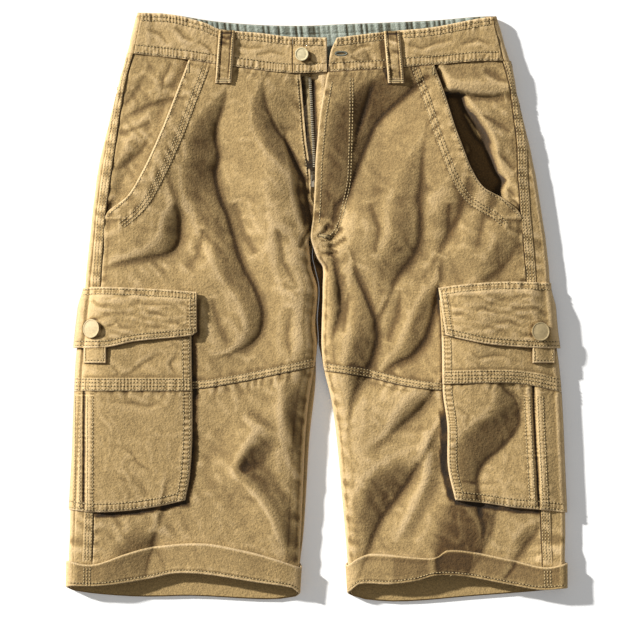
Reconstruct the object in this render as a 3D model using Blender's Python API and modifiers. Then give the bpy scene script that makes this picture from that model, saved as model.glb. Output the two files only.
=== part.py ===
"""Cargo shorts laid flat on z = 0, front up, waist towards +Y, unfastened.

Tables are in millimetres and meshes in metres. Left is -X as seen from above.
Every cloth piece is a wall whose outer face follows the laid garment: the backs
lie on the ground and fold round the sides to the side seams, and the fronts
bridge them with their main folds.
"""

import math
from collections import namedtuple
from functools import partial

import bmesh
import bpy
from mathutils import Vector

MM = 0.001

# Driving dimensions
CLOTH = 1.6
BAND_CLOTH = 2.6
TAPE_CLOTH = 1.0
GAP = 0.3
LAYER = CLOTH + GAP
CUFF_LAYER = LAYER + 3 * GAP
SIDE_ROLL = 6.0
INSEAM_HEIGHT = 8.0
OUTER_SHOULDER = 46.0
INNER_SHOULDER = 34.0
LOWEST_FRONT = 9.5
FLY_STEP = 2.0
FLY_REACH = 32.0
LOOP_WIDTH = 18.5
LOOP_LIFT = 4.8
POCKET_DEPTH = 5.5
FLAP_DEPTH = POCKET_DEPTH + 2 * LAYER + 3 * GAP
SNUG = LAYER + GAP           # lift of the first layer over the legs where it rounds a side
FLAP_SNUG = 3 * LAYER + 3 * GAP
SEWN_LIFT = LAYER + 3 * GAP  # lift of a layer's sewn edges
SEWN_RISE = 18.0             # how far in from the side fold a layer reaches its full lift
MOUTH_LAP = 12.0             # how far a hip piece runs under the front
LOOPS_UNDER = 238.0          # the backs rise towards the waist from here, over the back loops
CUFFS_UNDER = -266.0         # and towards the hem from here, over the cuffs
UNDER_RISE = 14.0
CROTCH_TOP = 98.0
CROTCH_REACH = 50.0          # how far below it the legs are fully apart
INSEAM_REACH = 12.0          # how far from the inseam the front may be as low as it is there
KNEE = -96.0
KNEE_REACH = 150.0
HEM_REACH = 105.0
HEM_TUCK = 1.5               # how far the legs end inside the cuffs' hems
WAIST_LEVEL = 300.0          # any place on the waistband, where the ground is level

SHARP = math.radians(40)

LEFT = -1
RIGHT = 1
SIDES = {LEFT: "left", RIGHT: "right"}

CLOTH_COLOUR = (0.50, 0.36, 0.18)
LINING_COLOUR = (0.22, 0.28, 0.25)
TAPE_COLOUR = (0.42, 0.34, 0.15)
BUTTON_COLOUR = (0.62, 0.53, 0.31)
METAL_COLOUR = (0.38, 0.35, 0.30)

# One row a section across the legs: the folded sides, the side seams on the front,
# and the height of the front's middle.
Section = namedtuple("Section", "y outer_left seam_left outer_right seam_right crown")
SECTIONS = (
    Section(290, -218, -210, 221, 210, 15),
    Section(255, -227, -219, 227, 220, 18),
    Section(220, -236, -225, 235, 225, 21),
    Section(185, -245.5, -230, 244, 229, 23),
    Section(150, -252, -235, 251, 230, 24),
    Section(125, -255.5, -238.5, 255, 232, 24),
    Section(106, -258, -241, 258, 233, 24),
    Section(75, -261, -243.5, 263, 236, 24),
    Section(40, -265, -246, 266, 239, 23),
    Section(5, -267.5, -248, 267.5, 241, 23),
    Section(-30, -271.5, -249.5, 270.5, 243.5, 23),
    Section(-65, -275, -250, 275.5, 246, 22),
    Section(-96, -276.5, -251, 278.5, 248, 22),
    Section(-130, -278, -252, 280.5, 250, 22),
    Section(-165, -279, -253, 282, 252, 21),
    Section(-200, -281, -254, 283.5, 254, 20),
    Section(-235, -283, -255, 285, 256, 19),
    Section(-265, -284, -256, 285, 257, 18),
    Section(-290, -284.5, -257, 284.5, 258, 17),
    Section(-320, -285.2, -258, 284.5, 259, 16),
)

# The fronts' inner edges: the fly down to the crotch, then the inseams.
InnerEdge = namedtuple("InnerEdge", "y left right")
INNER_EDGES = (
    InnerEdge(270, -19, 14),
    InnerEdge(250, -17.5, 8.5),
    InnerEdge(218, -14.8, 3),
    InnerEdge(190, -12.3, 0.3),
    InnerEdge(165, -8.8, -1.8),
    InnerEdge(147, -7.2, -2.3),
    InnerEdge(133, -7, -2.8),
    InnerEdge(124, -6.4, -3.3),
    InnerEdge(112, -1.5, -4),
    InnerEdge(100, 0, -4.8),
    InnerEdge(88, -3, -6.5),
    InnerEdge(78, -9, -7),
    InnerEdge(66, -8.8, 1),
    InnerEdge(45, -6.5, 6.5),
    InnerEdge(20, 0.5, 6),
    InnerEdge(-20, -2, 5),
    InnerEdge(-45, 0, 4.5),
    InnerEdge(-70, -3, 7.5),
    InnerEdge(-105, -9, 16),
    InnerEdge(-145, -13, 22),
    InnerEdge(-220, -16.5, 29),
    InnerEdge(-265, -18.5, 33),
    InnerEdge(-330, -22.5, 38),
)

# Slant pocket mouths, from the waist seam to the side seam.
MouthEdge = namedtuple("MouthEdge", "y left right")
MOUTH_EDGES = (
    MouthEdge(290, -145, 130),
    MouthEdge(276, -149.5, 134.6),
    MouthEdge(248, -160, 145),
    MouthEdge(208, -175, 157.4),
    MouthEdge(180, -187, 167.7),
    MouthEdge(159, -197, 176),
    MouthEdge(136, -209.5, 191.5),
    MouthEdge(124, -219, 213),
    MouthEdge(106, -241, 233),
)

# How far the left back shows beyond the left front along the inseam.
INSEAM_BULGE = ((-60, 0), (-105, 7), (-165, 5), (-250, 3), (-290, 0))

# Edges that run across the cloth, as (x, y).
WAIST_SEAM = {
    LEFT: ((-220, 291), (-148, 283), (-95, 275), (-31, 267.5), (12, 268.5)),
    RIGHT: ((13, 269), (68, 272), (135, 277), (180, 281), (222, 282)),
}
BAND_TOP = {
    LEFT: ((-206, 337), (-168, 335), (-128, 325), (-112, 318), (-67, 313.5), (-31, 309), (12, 308)),
    RIGHT: ((22, 308), (76, 315), (129, 319.5), (185, 330), (205, 333)),
}
BACK_BAND_TOP = ((-206, 338), (-168, 336), (-120, 328.5), (-67, 324), (-15, 323), (30, 325),
                 (86, 327), (138, 329.5), (185, 333.5), (206, 334))
BACK_BAND_BOTTOM = ((-218, 290), (-90, 278), (0, 275), (90, 277), (221, 282))
KNEE_SEAM = {
    LEFT: ((-280, -96), (-142, -94), (-90, -86.5), (-49, -78), (-2, -68)),
    RIGHT: ((7, -73), (56, -80), (99, -90), (142, -95.5), (280, -97)),
}
CUFF_TOP = {
    LEFT: ((-286, -289), (-267, -294), (-250, -293), (-220, -282.5), (-189, -274.5), (-131, -270),
           (-81, -278.5), (-50, -287), (-20, -298)),
    RIGHT: ((37, -295), (47, -287), (64, -282), (127, -287), (138, -285), (149, -278), (180, -280.5),
            (224, -289.5), (261, -297.5), (287, -293)),
}
HEM_FRONT = {
    LEFT: ((-288, -319), (-244, -318.5), (-191, -311), (-162, -305), (-126, -306), (-71, -314.5),
           (-30, -321), (-22, -327)),
    RIGHT: ((38, -326), (49, -317), (83, -317), (114, -313), (136, -307), (172, -309), (224, -318.5),
            (256, -323.5), (286, -321.5)),
}
HEM_BACK = {
    LEFT: ((-288, -322), (-279, -326), (-244, -330.5), (-197, -333), (-142, -332), (-61, -336),
           (-27, -334), (-22, -331)),
    RIGHT: ((38, -331), (55, -336), (98, -338.5), (182, -332), (246, -327), (286, -323)),
}
CUFF_BACK_TOP = -293.0

# Cargo pockets and flaps: the edges nearer the inseam as (y, x), the others as (x, y).
POCKET_TOP = 8.0
POCKET_INNER = {
    LEFT: ((18, -141), (-34, -143), (-140, -142), (-192, -145), (-221, -150.5)),
    RIGHT: ((18, 139), (-39, 142.5), (-96, 143.5), (-135, 148.5), (-183, 149.5), (-221, 158)),
}
POCKET_BOTTOM = {
    LEFT: ((-288, -232), (-254, -234.5), (-214, -232.5), (-175, -226.5), (-150, -220.5)),
    RIGHT: ((158, -220.5), (191, -224.5), (225, -229.5), (254, -232), (289, -236)),
}
POCKET_BAND = {
    LEFT: ((-282, -96), (-142, -96)),
    RIGHT: ((143, -88), (226, -87.5), (282, -97.5)),
}
FLAP_TOP = {
    LEFT: ((-272, 21.5), (-249, 23), (-184, 20.5), (-136, 17)),
    RIGHT: ((137, 21.5), (160, 25), (215, 29), (272, 27.5)),
}
FLAP_BOTTOM = {
    LEFT: ((-281, -47), (-239, -46), (-208, -39.5), (-143, -32.5), (-136, -28)),
    RIGHT: ((146, -32), (164, -36.5), (195, -42.5), (242, -46.5), (281, -47.5)),
}
FLAP_INNER = {
    LEFT: ((25, -136.7), (-35, -136.7)),
    RIGHT: ((25, 138), (-35, 147)),
}
PLEAT = {LEFT: ((-90, -266), (-235, -266.5)), RIGHT: ((-90, 247), (-235, 254))}
PLEAT_DEPTH = 3.0
PLEAT_HALF = 4.5
PLEAT_FADE = 14.0
POCKET_SHOULDER = 5.0
FLAP_EDGE = 7.0              # width of the flap's free side, which turns down a little
FLAP_EDGE_SHARE = 0.85
FLAP_HEAD = 12.0             # depth of its sewn head
FLAP_ROUND = (24.0, 26.0)    # the y from which, and the run in which, it stands off the side fold
TAB_SPAN = {LEFT: (-266.5, -240), RIGHT: (246, 272)}
TAB_LOW = -64.0
TAB_HIGH = -45.2

# The largest folds. Points run from the waist towards the hem. A positive depth is a
# valley and a negative one a ridge, and the two widths lie on its -X and +X sides.
Fold = namedtuple("Fold", "points depth before after")
FOLDS = (
    Fold(((-118, 215), (-113, 180), (-108, 122), (-94, 65), (-104, 40)), 11, 46, 44),
    Fold(((-154, 120), (-157, 68), (-190, 50), (-238, 48)), 6, 34, 26),
    Fold(((-98, 60), (-88, 40), (-69, 17), (-61, -5), (-64, -40)), 8, 30, 24),
    Fold(((-26, 200), (-17, 165), (-8, 130), (-6, 100), (-10, 70)), 9, 34, 24),
    Fold(((110, 250), (76, 220), (62, 200), (43, 145), (30, 100)), 10, 34, 46),
    Fold(((121, 200), (120, 150), (119, 82), (112, 50), (88, 20)), 9, 38, 50),
    Fold(((40, 50), (52, 25), (70, -17), (68, -48), (58, -80)), 7, 28, 26),
    Fold(((139, 30), (136, 5), (128, -28), (110, -52), (80, -70)), 6, 30, 20),
    Fold(((-75, -150), (-93, -188), (-61, -222), (-46, -252), (-30, -300)), -7, 34, 26),
    Fold(((142, -165), (119, -193), (90, -235), (60, -278), (45, -310)), 8, 44, 34),
    Fold(((212, -200), (203, -230), (192, -280), (184, -330)), 6, 46, 24),
    Fold(((-182, -240), (-187, -275), (-190, -330)), 5, 46, 18),
)

# Column counts of the grids
PANEL_COLUMNS = 14
HIP_COLUMNS = 5
FLOOR_COLUMNS = 6
FOLD_ANGLES = (-50, -10, 35, 90)
BAND_COLUMNS = 9

EXTENSION_SEAM = -28.0
BAND_END = {LEFT: 11.4, RIGHT: ((265, 13.5), (308, 22.5))}
BAND_SIDE = {LEFT: ((290, -210), (338, -201)), RIGHT: ((280, 214), (334, 201))}
BAND_OUTER = {LEFT: ((290, -217.5), (338, -206.5)), RIGHT: ((280, 221), (334, 205.5))}

ZIP_TOP = 264.0
ZIP_LOW = 156.0
ZIP_EDGE = ((264, -9), (237, -7.4), (203, -5.8), (185, -4.6), (156, -3.6))
SHIELD_SPAN = (-24.0, 22.0)
SHIELD_FOOT = 6.0            # its right edge at the foot, which curves up to the span
SHIELD_CURVE = 90.0
SHIELD_LOW = 100.0
SHIELD_HEIGHT = 7.5
SHIELD_RISE = 2.5
SHIELD_RISE_FROM = 250.0
SHIELD_RISE_RUN = 18.0
TAPE_WIDTH = 12.0
TAPE_LAP = 5.0               # how far the left tape runs under the fly's edge
TAPE_INSET = 3.0             # how far the right tape stays inside the overlap's edge

PULL_X = -4.85
PULL_Y = 150.5
PULL_Z = 12.4
PULL_LENGTH = 13.0
PULL_WIDTH = 3.2
PULL_THICK = 1.2
PULL_PLAY = 0.45
PULL_RIM = 0.7
PULL_HOLE = 6.0
SLIDER_SIZE = (5.2, 10.0, 2.4)
BRIDGE_SIZE = (1.2, 8.0, 0.7)


def clamp(value, low=0.0, high=1.0):
    return max(low, min(high, value))


def mix(a, b, t):
    return a + (b - a) * t


def smooth(t):
    t = clamp(t)
    return t * t * (3 - 2 * t)


def quarter(t):
    """Rises like a quarter of a circle, from 0 at 0 to 1 at 1."""
    t = clamp(t)
    return math.sqrt(t * (2 - t))


def along(table, at):
    """The value at a place on a smooth curve through a table of (place, value)."""
    table = sorted(table)
    at = clamp(at, table[0][0], table[-1][0])
    index = 0
    while index < len(table) - 2 and at > table[index + 1][0]:
        index += 1
    (x0, y0), (x1, y1) = table[index], table[index + 1]
    before = table[max(index - 1, 0)]
    after = table[min(index + 2, len(table) - 1)]
    slope0 = (y1 - before[1]) / (x1 - before[0])
    slope1 = (after[1] - y0) / (after[0] - x0)
    t = (at - x0) / (x1 - x0)
    span = x1 - x0
    return (
        y0 * (1 + 2 * t) * (1 - t) ** 2
        + slope0 * span * t * (1 - t) ** 2
        + y1 * t * t * (3 - 2 * t)
        + slope1 * span * t * t * (t - 1)
    )


def column(rows, name):
    return tuple((row.y, getattr(row, name)) for row in rows)


OUTER = {side: column(SECTIONS, "outer_" + name) for side, name in SIDES.items()}
SEAM = {side: column(SECTIONS, "seam_" + name) for side, name in SIDES.items()}
INNER = {side: column(INNER_EDGES, name) for side, name in SIDES.items()}
MOUTH = {side: column(MOUTH_EDGES, name) for side, name in SIDES.items()}
CROWN = column(SECTIONS, "crown")
STATIONS = tuple(section.y for section in SECTIONS)
MOUTH_LOW = MOUTH_EDGES[-1].y


# --- The laid garment's form -------------------------------------------------


def ground(y):
    """The backs' underside: lifted by what is sewn under it at the waist and the hem."""
    over_loops = LAYER * smooth((y - LOOPS_UNDER) / UNDER_RISE)
    over_cuffs = CUFF_LAYER * smooth((CUFFS_UNDER - y) / UNDER_RISE)
    return over_loops + over_cuffs


def legs_apart(y):
    """0 above the crotch, 1 on the legs."""
    return smooth((CROTCH_TOP - y) / CROTCH_REACH)


def fold_at(fold, x, y):
    nearest = None
    travelled = 0.0
    for start, end in zip(fold.points, fold.points[1:]):
        run = Vector(end) - Vector(start)
        reach = Vector((x, y)) - Vector(start)
        t = clamp(reach.dot(run) / run.length_squared)
        apart = (reach - run * t).length
        if nearest is None or apart < nearest[0]:
            beyond = run.x * reach.y - run.y * reach.x > 0
            nearest = (apart, travelled + run.length * t, beyond)
        travelled += run.length
    apart, reached, beyond = nearest
    width = fold.after if beyond else fold.before
    taper = math.sin(math.pi * clamp(reached / travelled)) ** 0.6
    return -fold.depth * taper * clamp(1 - apart / width) ** 1.5


def front_height(side, x, y):
    """Top of the front at a place, from the fold at the side to the inner edge."""
    roll_top = ground(y) + 2 * SIDE_ROLL
    outer_room = max(0.0, abs(x - along(OUTER[side], y)) - SIDE_ROLL)
    inner_room = abs(x - along(INNER[side], y))
    inner_low = ground(y) + INSEAM_HEIGHT
    low = mix(roll_top, inner_low, legs_apart(y) * outer_room / max(outer_room + inner_room, 1))
    inner_rise = mix(1, quarter(inner_room / INNER_SHOULDER), legs_apart(y))
    rise = quarter(outer_room / OUTER_SHOULDER) * inner_rise
    height = mix(low, along(CROWN, y), rise)
    height += sum(fold_at(fold, x, y) for fold in FOLDS) * rise
    near_fly = (1 - smooth(inner_room / FLY_REACH)) * (1 - legs_apart(y))
    height += side * FLY_STEP * near_fly
    floor = mix(LOWEST_FRONT, inner_low, legs_apart(y) * (1 - smooth(inner_room / INSEAM_REACH)))
    return max(height, floor)


def layer_height(side, x, y, lift, snug=SNUG):
    """Top of a layer that lies over the front and rounds the side fold."""
    inside = abs(along(OUTER[side], y)) + snug - abs(x)
    radius = SIDE_ROLL + snug
    if inside < radius:
        rise = math.sqrt(max(0.0, radius**2 - (radius - inside) ** 2))
        return ground(y) + SIDE_ROLL + rise
    extra = (lift - snug) * smooth((inside - radius) / SEWN_RISE)
    return front_height(side, x, y) + snug + extra


def row_y(side, x, station):
    """Height on the garment of a row: it follows the waist, knee and hem where it nears them."""
    waist = (along(WAIST_SEAM[side], x) - STATIONS[0]) * near_waist(station)
    knee = (along(KNEE_SEAM[side], x) - KNEE) * smooth(1 - abs(station - KNEE) / KNEE_REACH)
    hem = (along(HEM_FRONT[side], x) + HEM_TUCK - STATIONS[-1]) * near_hem(station)
    return station + waist + knee + hem


def near_waist(station):
    return smooth((station - MOUTH_LOW) / (STATIONS[0] - MOUTH_LOW))


def near_hem(station):
    return smooth((STATIONS[-1] + HEM_REACH - station) / HEM_REACH)


def settle(x, wanted):
    """The x at which wanted(x) gives x back, approached in damped steps."""
    for _ in range(12):
        x = mix(x, wanted(x), 0.6)
    return x


def edge_point(side, station, edge):
    """Where a row meets an edge given as (y, x)."""
    return settle(along(edge, station), lambda x: along(edge, row_y(side, x, station)))


# --- Meshes --------------------------------------------------------------------


def material(name, colour, roughness, metallic):
    made = bpy.data.materials.new(name)
    made.use_nodes = True
    shader = made.node_tree.nodes["Principled BSDF"]
    shader.inputs["Base Color"].default_value = (*colour, 1)
    shader.inputs["Roughness"].default_value = roughness
    shader.inputs["Metallic"].default_value = metallic
    return made


def add_object(name, mesh, colour=CLOTH_COLOUR, roughness=0.9, metallic=0.0):
    made = bpy.data.objects.new(name, mesh)
    mesh.shade_smooth()
    mesh.set_sharp_from_angle(angle=SHARP)
    made.data.materials.append(material(name, colour, roughness, metallic))
    PARTS.objects.link(made)
    return made


def wall(name, rows, inward, thickness=CLOTH, ring=False, **finish):
    """A wall whose outer face is a grid of points, in millimetres, each with its way inward."""
    bm = bmesh.new()
    outer = [[bm.verts.new(point * MM) for point in row] for row in rows]
    inner = [
        [bm.verts.new((point + way * thickness) * MM) for point, way in zip(row, ways)]
        for row, ways in zip(rows, inward)
    ]
    across = len(rows[0])
    steps = range(across if ring else across - 1)
    for r in range(len(rows) - 1):
        for c in steps:
            d = (c + 1) % across
            bm.faces.new((outer[r][c], outer[r][d], outer[r + 1][d], outer[r + 1][c]))
            bm.faces.new((inner[r][c], inner[r + 1][c], inner[r + 1][d], inner[r][d]))
    for r in (0, len(rows) - 1):
        for c in steps:
            d = (c + 1) % across
            bm.faces.new((outer[r][c], outer[r][d], inner[r][d], inner[r][c]))
    if not ring:
        for c in (0, across - 1):
            for r in range(len(rows) - 1):
                bm.faces.new((outer[r][c], outer[r + 1][c], inner[r + 1][c], inner[r][c]))
    bmesh.ops.recalc_face_normals(bm, faces=bm.faces)
    mesh = bpy.data.meshes.new(name)
    bm.to_mesh(mesh)
    bm.free()
    return add_object(name, mesh, **finish)


def sheet(name, rows, thickness=CLOTH, **finish):
    """A wall with its thickness straight down, so that what meets it in plan stays clear."""
    down = [[Vector((0, 0, -1)) for _ in row] for row in rows]
    return wall(name, rows, down, thickness, **finish)


def grid_between(left_edge, right_edge, top, bottom, height, columns, levels):
    """A grid over a shape whose sides are x(y) and whose ends are y(x)."""
    rows = []
    for level in levels:
        ends = [
            settle(edge(0), lambda x, edge=edge: edge(mix(top(x), bottom(x), level)))
            for edge in (left_edge, right_edge)
        ]
        row = []
        for step in range(columns + 1):
            x = mix(ends[0], ends[1], step / columns)
            y = mix(top(x), bottom(x), level)
            row.append(Vector((x, y, height(x, y))))
        rows.append(row)
    return rows


def even(count):
    return [step / count for step in range(count + 1)]


def section_ways(points, ring=False):
    """Ways inward at the corners of a section, counter-clockwise in (u, z), with mitres."""
    ways = []
    last = len(points) - 1
    for index, point in enumerate(points):
        ahead = points[(index + 1) % len(points)] if ring or index < last else None
        behind = points[index - 1] if ring or index > 0 else None
        normals = []
        for start, end in ((behind, point), (point, ahead)):
            if start is not None and end is not None:
                run = (end - start).normalized()
                normals.append(Vector((-run.y, run.x)))
        way = sum(normals, Vector((0, 0))).normalized()
        ways.append(way / max(way.dot(normals[0]), 0.7))
    return ways


# --- Fronts, hips and backs ----------------------------------------------------


def front_panel(side, name, stations, outer_edge):
    rows = []
    for station in stations:
        outer_x = edge_point(side, station, outer_edge) - side * GAP / 2
        inner_x = edge_point(side, station, INNER[side])
        row = []
        for step in range(PANEL_COLUMNS + 1):
            x = mix(outer_x, inner_x, step / PANEL_COLUMNS)
            y = row_y(side, x, station)
            row.append(Vector((x, y, front_height(side, x, y))))
        rows.append(row)
    draw_back(rows)
    return sheet(name, rows)


def draw_back(rows):
    """Moves a panel's first and last rows half a gap away from the seams there."""
    for row, way in ((rows[0], -1), (rows[-1], 1)):
        for point in row:
            point.y += way * GAP / 2


def upper_front(side):
    stations = [y for y in STATIONS if y >= KNEE]
    mouth = [row for row in MOUTH[side] if row[0] > MOUTH_LOW]
    below = [row for row in SEAM[side] if row[0] <= MOUTH_LOW]
    return front_panel(side, "front_upper_" + SIDES[side], stations, mouth + below)


def lower_front(side):
    stations = [y for y in STATIONS if y <= KNEE]
    return front_panel(side, "front_lower_" + SIDES[side], stations, SEAM[side])


HIP_GAPE = {LEFT: 4.0, RIGHT: 7.0}
HIP_LOW = 98.0
HIP_TUCK = 12.0  # how far above the mouth's end the whole piece goes under the front


def hip(side):
    """The piece seen in the slant pocket: it lies under the front beyond the mouth's edge."""
    rows = []
    for station in [y for y in STATIONS if y >= MOUTH_LOW] + [HIP_LOW]:
        outer_x = edge_point(side, station, SEAM[side]) - side * GAP / 2
        inner_x = edge_point(side, station, MOUTH[side]) - side * MOUTH_LAP
        row = []
        for step in range(HIP_COLUMNS + 1):
            t = step / HIP_COLUMNS
            x = mix(outer_x, inner_x, t)
            y = row_y(side, x, station) - GAP / 2
            up_mouth = clamp((y - HIP_LOW) / (STATIONS[0] - HIP_LOW))
            open_here = HIP_GAPE[side] * smooth(t * 1.6) * math.sin(math.pi * up_mouth)
            tucked = clamp((MOUTH_LOW + 1.5 * HIP_TUCK - y) / HIP_TUCK)
            drop = 2 * LAYER * smooth(3 * t + tucked)
            row.append(Vector((x, y, front_height(side, x, y) - GAP - drop - open_here)))
        rows.append(row)
    return sheet("hip_" + SIDES[side], rows)


def bulge_of(side, y):
    return along(INSEAM_BULGE, y) if side == LEFT else 0


def back_inner(side, y):
    """Where a back ends: at the centre back, or rolled under the inseam."""
    return mix(side * GAP / 2, along(INNER[side], y) + bulge_of(side, y), legs_apart(y))


def back_floor_and_fold(side, y, low, start):
    """The part of a section on the ground and up round the side, as (u, z, backness)."""
    u_out = side * along(OUTER[side], y)
    points = []
    for step in range(FLOOR_COLUMNS + 1):
        points.append((mix(start, u_out - SIDE_ROLL, step / FLOOR_COLUMNS), low, 1))
    return points + [side_turn(u_out, low, angle) for angle in FOLD_ANGLES]


def side_turn(u_out, low, angle):
    """A point of the fold round a side, as (u, z, backness), at an angle above level."""
    turned = math.radians(angle)
    u = u_out - SIDE_ROLL + SIDE_ROLL * math.cos(turned)
    z = low + SIDE_ROLL + SIDE_ROLL * math.sin(turned)
    return u, z, 0.5 - 0.5 * math.sin(turned)


# A back's inner edge, from the edge outwards: flat above the crotch, rolled up at the inseam.
InnerTurn = namedtuple("InnerTurn", "flat_u rolled_u rolled_z backness")
INNER_TURNS = (
    InnerTurn(0, 3, 5.6, 0),
    InnerTurn(2.4, 0.8, 5.4, 0.2),
    InnerTurn(5, 0, 3, 0.5),
    InnerTurn(8, 2.5, 0, 1),
)
CURL_TOP = 95.0
CURL_REACH = 55.0


def back_section(side, station):
    """Outer face of a back across the garment, as (u, z, backness), with u = side * x."""
    seam_x = edge_point(side, station, SEAM[side])
    y = row_y(side, seam_x, station)
    low = ground(y)
    curl = clamp((CURL_TOP - y) / CURL_REACH) ** 1.7
    u_in = side * back_inner(side, y)
    points = []
    for turn in INNER_TURNS[:-1]:
        edge = bulge_of(side, y) if turn is INNER_TURNS[0] else 0
        u = u_in + mix(turn.flat_u, turn.rolled_u + edge, curl)
        points.append((u, low + turn.rolled_z * curl, mix(1, turn.backness, curl)))
    floor_start = u_in + mix(INNER_TURNS[-1].flat_u, INNER_TURNS[-1].rolled_u, curl)
    points += back_floor_and_fold(side, y, low, floor_start)
    points.append((side * seam_x + GAP / 2, None, 0))
    return points


def back_y(side, x, station):
    waist = (along(BACK_BAND_BOTTOM, x) - STATIONS[0]) * near_waist(station)
    hem = (along(HEM_BACK[side], x) + HEM_TUCK - STATIONS[-1]) * near_hem(station)
    return station + waist + hem


def back(side):
    rows = []
    inward = []
    for station in STATIONS:
        row = []
        section = back_section(side, station)
        for u, z, backness in section:
            x = side * u
            y = mix(row_y(side, x, station), back_y(side, x, station), backness)
            if z is None:
                z = front_height(side, x, y)
            row.append(Vector((x, y, z)))
        ways = section_ways([Vector((side * p.x, p.z)) for p in row])
        ways[-1] = Vector((0, -1))
        inward.append([Vector((side * way.x, 0, way.y)) for way in ways])
        rows.append(row)
    draw_back(rows)
    return wall("back_" + SIDES[side], rows, inward)


# --- Cuffs ---------------------------------------------------------------------


CUFF_STATIONS = (-292.0, -320.0)


def cuff(side):
    """The turned-up cuff: a closed band round the leg, outside it."""
    rows = []
    inward = []
    for level in even(3):
        station = mix(*CUFF_STATIONS, level)
        u_in = side * along(INNER[side], station)
        u_seam = side * along(SEAM[side], station)
        low = ground(CUFF_STATIONS[1])
        front = [(mix(u_seam, u_in, t), None, 0) for t in even(PANEL_COLUMNS)]
        inseam = [(u_in, low + INSEAM_HEIGHT / 2, 0.6)]
        row = []
        floor_start = u_in + INNER_TURNS[-1].rolled_u
        for u, z, backness in front + inseam + back_floor_and_fold(side, station, low, floor_start):
            x = side * u
            y_front = mix(along(CUFF_TOP[side], x), along(HEM_FRONT[side], x), level)
            y_back = mix(CUFF_BACK_TOP, along(HEM_BACK[side], x), level)
            y = mix(y_front, y_back, backness)
            if z is None:
                z = max(front_height(side, x, y), low + INSEAM_HEIGHT)
            row.append(Vector((x, y, z)))
        ways = section_ways([Vector((side * p.x, p.z)) for p in row], ring=True)
        ways = [Vector((side * way.x, 0, way.y)) for way in ways]
        rows.append([point - way * CUFF_LAYER for point, way in zip(row, ways)])
        inward.append(ways)
    return wall("cuff_" + SIDES[side], rows, inward, ring=True)


# --- Waistband -----------------------------------------------------------------


BAND_CROWN = 1.2
BAND_SHOULDER = 40.0
EXTENSION_DROP = 0.6
BAND_TURN_ANGLES = (60, 10, -40)


def band_height(x, y):
    side = LEFT if x < 0 else RIGHT
    room = abs(along(BAND_OUTER[side], y)) - abs(x)
    crown = BAND_CROWN * quarter((room - SIDE_ROLL) / BAND_SHOULDER)
    return ground(WAIST_LEVEL) + 2 * SIDE_ROLL + crown


def front_band(side, name, near, far):
    """A stretch of the front band between two edges given as x(y)."""
    rows = grid_between(
        near,
        far,
        lambda x: along(BAND_TOP[side], x),
        lambda x: along(WAIST_SEAM[side], x) + GAP / 2,
        band_height,
        BAND_COLUMNS,
        even(3),
    )
    return sheet(name, rows, BAND_CLOTH)


def waistband_front_left():
    return front_band(
        LEFT,
        "waistband_front_left",
        lambda y: along(BAND_SIDE[LEFT], y) + GAP / 2,
        lambda y: EXTENSION_SEAM - GAP / 2,
    )


def waistband_front_right():
    return front_band(
        RIGHT,
        "waistband_front_right",
        lambda y: along(BAND_END[RIGHT], y),
        lambda y: along(BAND_SIDE[RIGHT], y) - GAP / 2,
    )


def extension_height(x, y):
    return band_height(x, y) - EXTENSION_DROP


def button_extension():
    rows = grid_between(
        lambda y: EXTENSION_SEAM + GAP / 2,
        lambda y: BAND_END[LEFT],
        lambda x: along(BAND_TOP[LEFT], x),
        lambda x: along(WAIST_SEAM[LEFT], x) + GAP / 2,
        extension_height,
        3,
        even(3),
    )
    return sheet("button_extension", rows, BAND_CLOTH)


def waistband_back():
    """From side seam to side seam, under the front band and folded round both sides."""
    low = ground(WAIST_LEVEL)
    rows = []
    inward = []
    for level in even(3):
        section = []
        for side in (RIGHT, LEFT):
            (_, low_x), (_, top_x) = BAND_SIDE[side]
            y_end = mix(along(BAND_TOP[side], top_x), along(WAIST_SEAM[side], low_x), level)
            u_out = abs(along(BAND_OUTER[side], y_end))
            u_seam = abs(along(BAND_SIDE[side], y_end)) + GAP / 2
            turn = [(u_seam, low + 2 * SIDE_ROLL, 0)]
            turn += [side_turn(u_out, low, angle) for angle in BAND_TURN_ANGLES]
            floor = [(mix(u_out - SIDE_ROLL, 0, t), low, 1) for t in even(FLOOR_COLUMNS)]
            half = [(side * u, z, backness) for u, z, backness in turn + floor]
            section += half if side == RIGHT else half[-2::-1]
        row = []
        for x, z, backness in section:
            side = LEFT if x < 0 else RIGHT
            y_front = mix(along(BAND_TOP[side], x), along(WAIST_SEAM[side], x) + GAP / 2, level)
            y_back = mix(along(BACK_BAND_TOP, x), along(BACK_BAND_BOTTOM, x) + GAP / 2, level)
            row.append(Vector((x, mix(y_front, y_back, backness), z)))
        # The section runs from the right seam, under, to the left seam: clockwise from -Y.
        ways = section_ways([Vector((-p.x, p.z)) for p in row])
        ways[0] = Vector((0, -1))
        ways[-1] = Vector((0, -1))
        inward.append([Vector((-way.x, 0, way.y)) for way in ways])
        rows.append(row)
    return wall("waistband_back", rows, inward, BAND_CLOTH)


LINING_REACH = 193.0
LINING_MARGINS = (0.5, 3.0)  # from the back band's upper and lower edges
LINING_COLUMNS = 16


def waistband_lining():
    top = ground(WAIST_LEVEL) + BAND_CLOTH + GAP + TAPE_CLOTH
    rows = grid_between(
        lambda y: -LINING_REACH,
        lambda y: LINING_REACH,
        lambda x: along(BACK_BAND_TOP, x) - LINING_MARGINS[0],
        lambda x: along(BACK_BAND_BOTTOM, x) + LINING_MARGINS[1],
        lambda x, y: top,
        LINING_COLUMNS,
        even(1),
    )
    return sheet("waistband_lining", rows, TAPE_CLOTH, colour=LINING_COLOUR)


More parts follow.
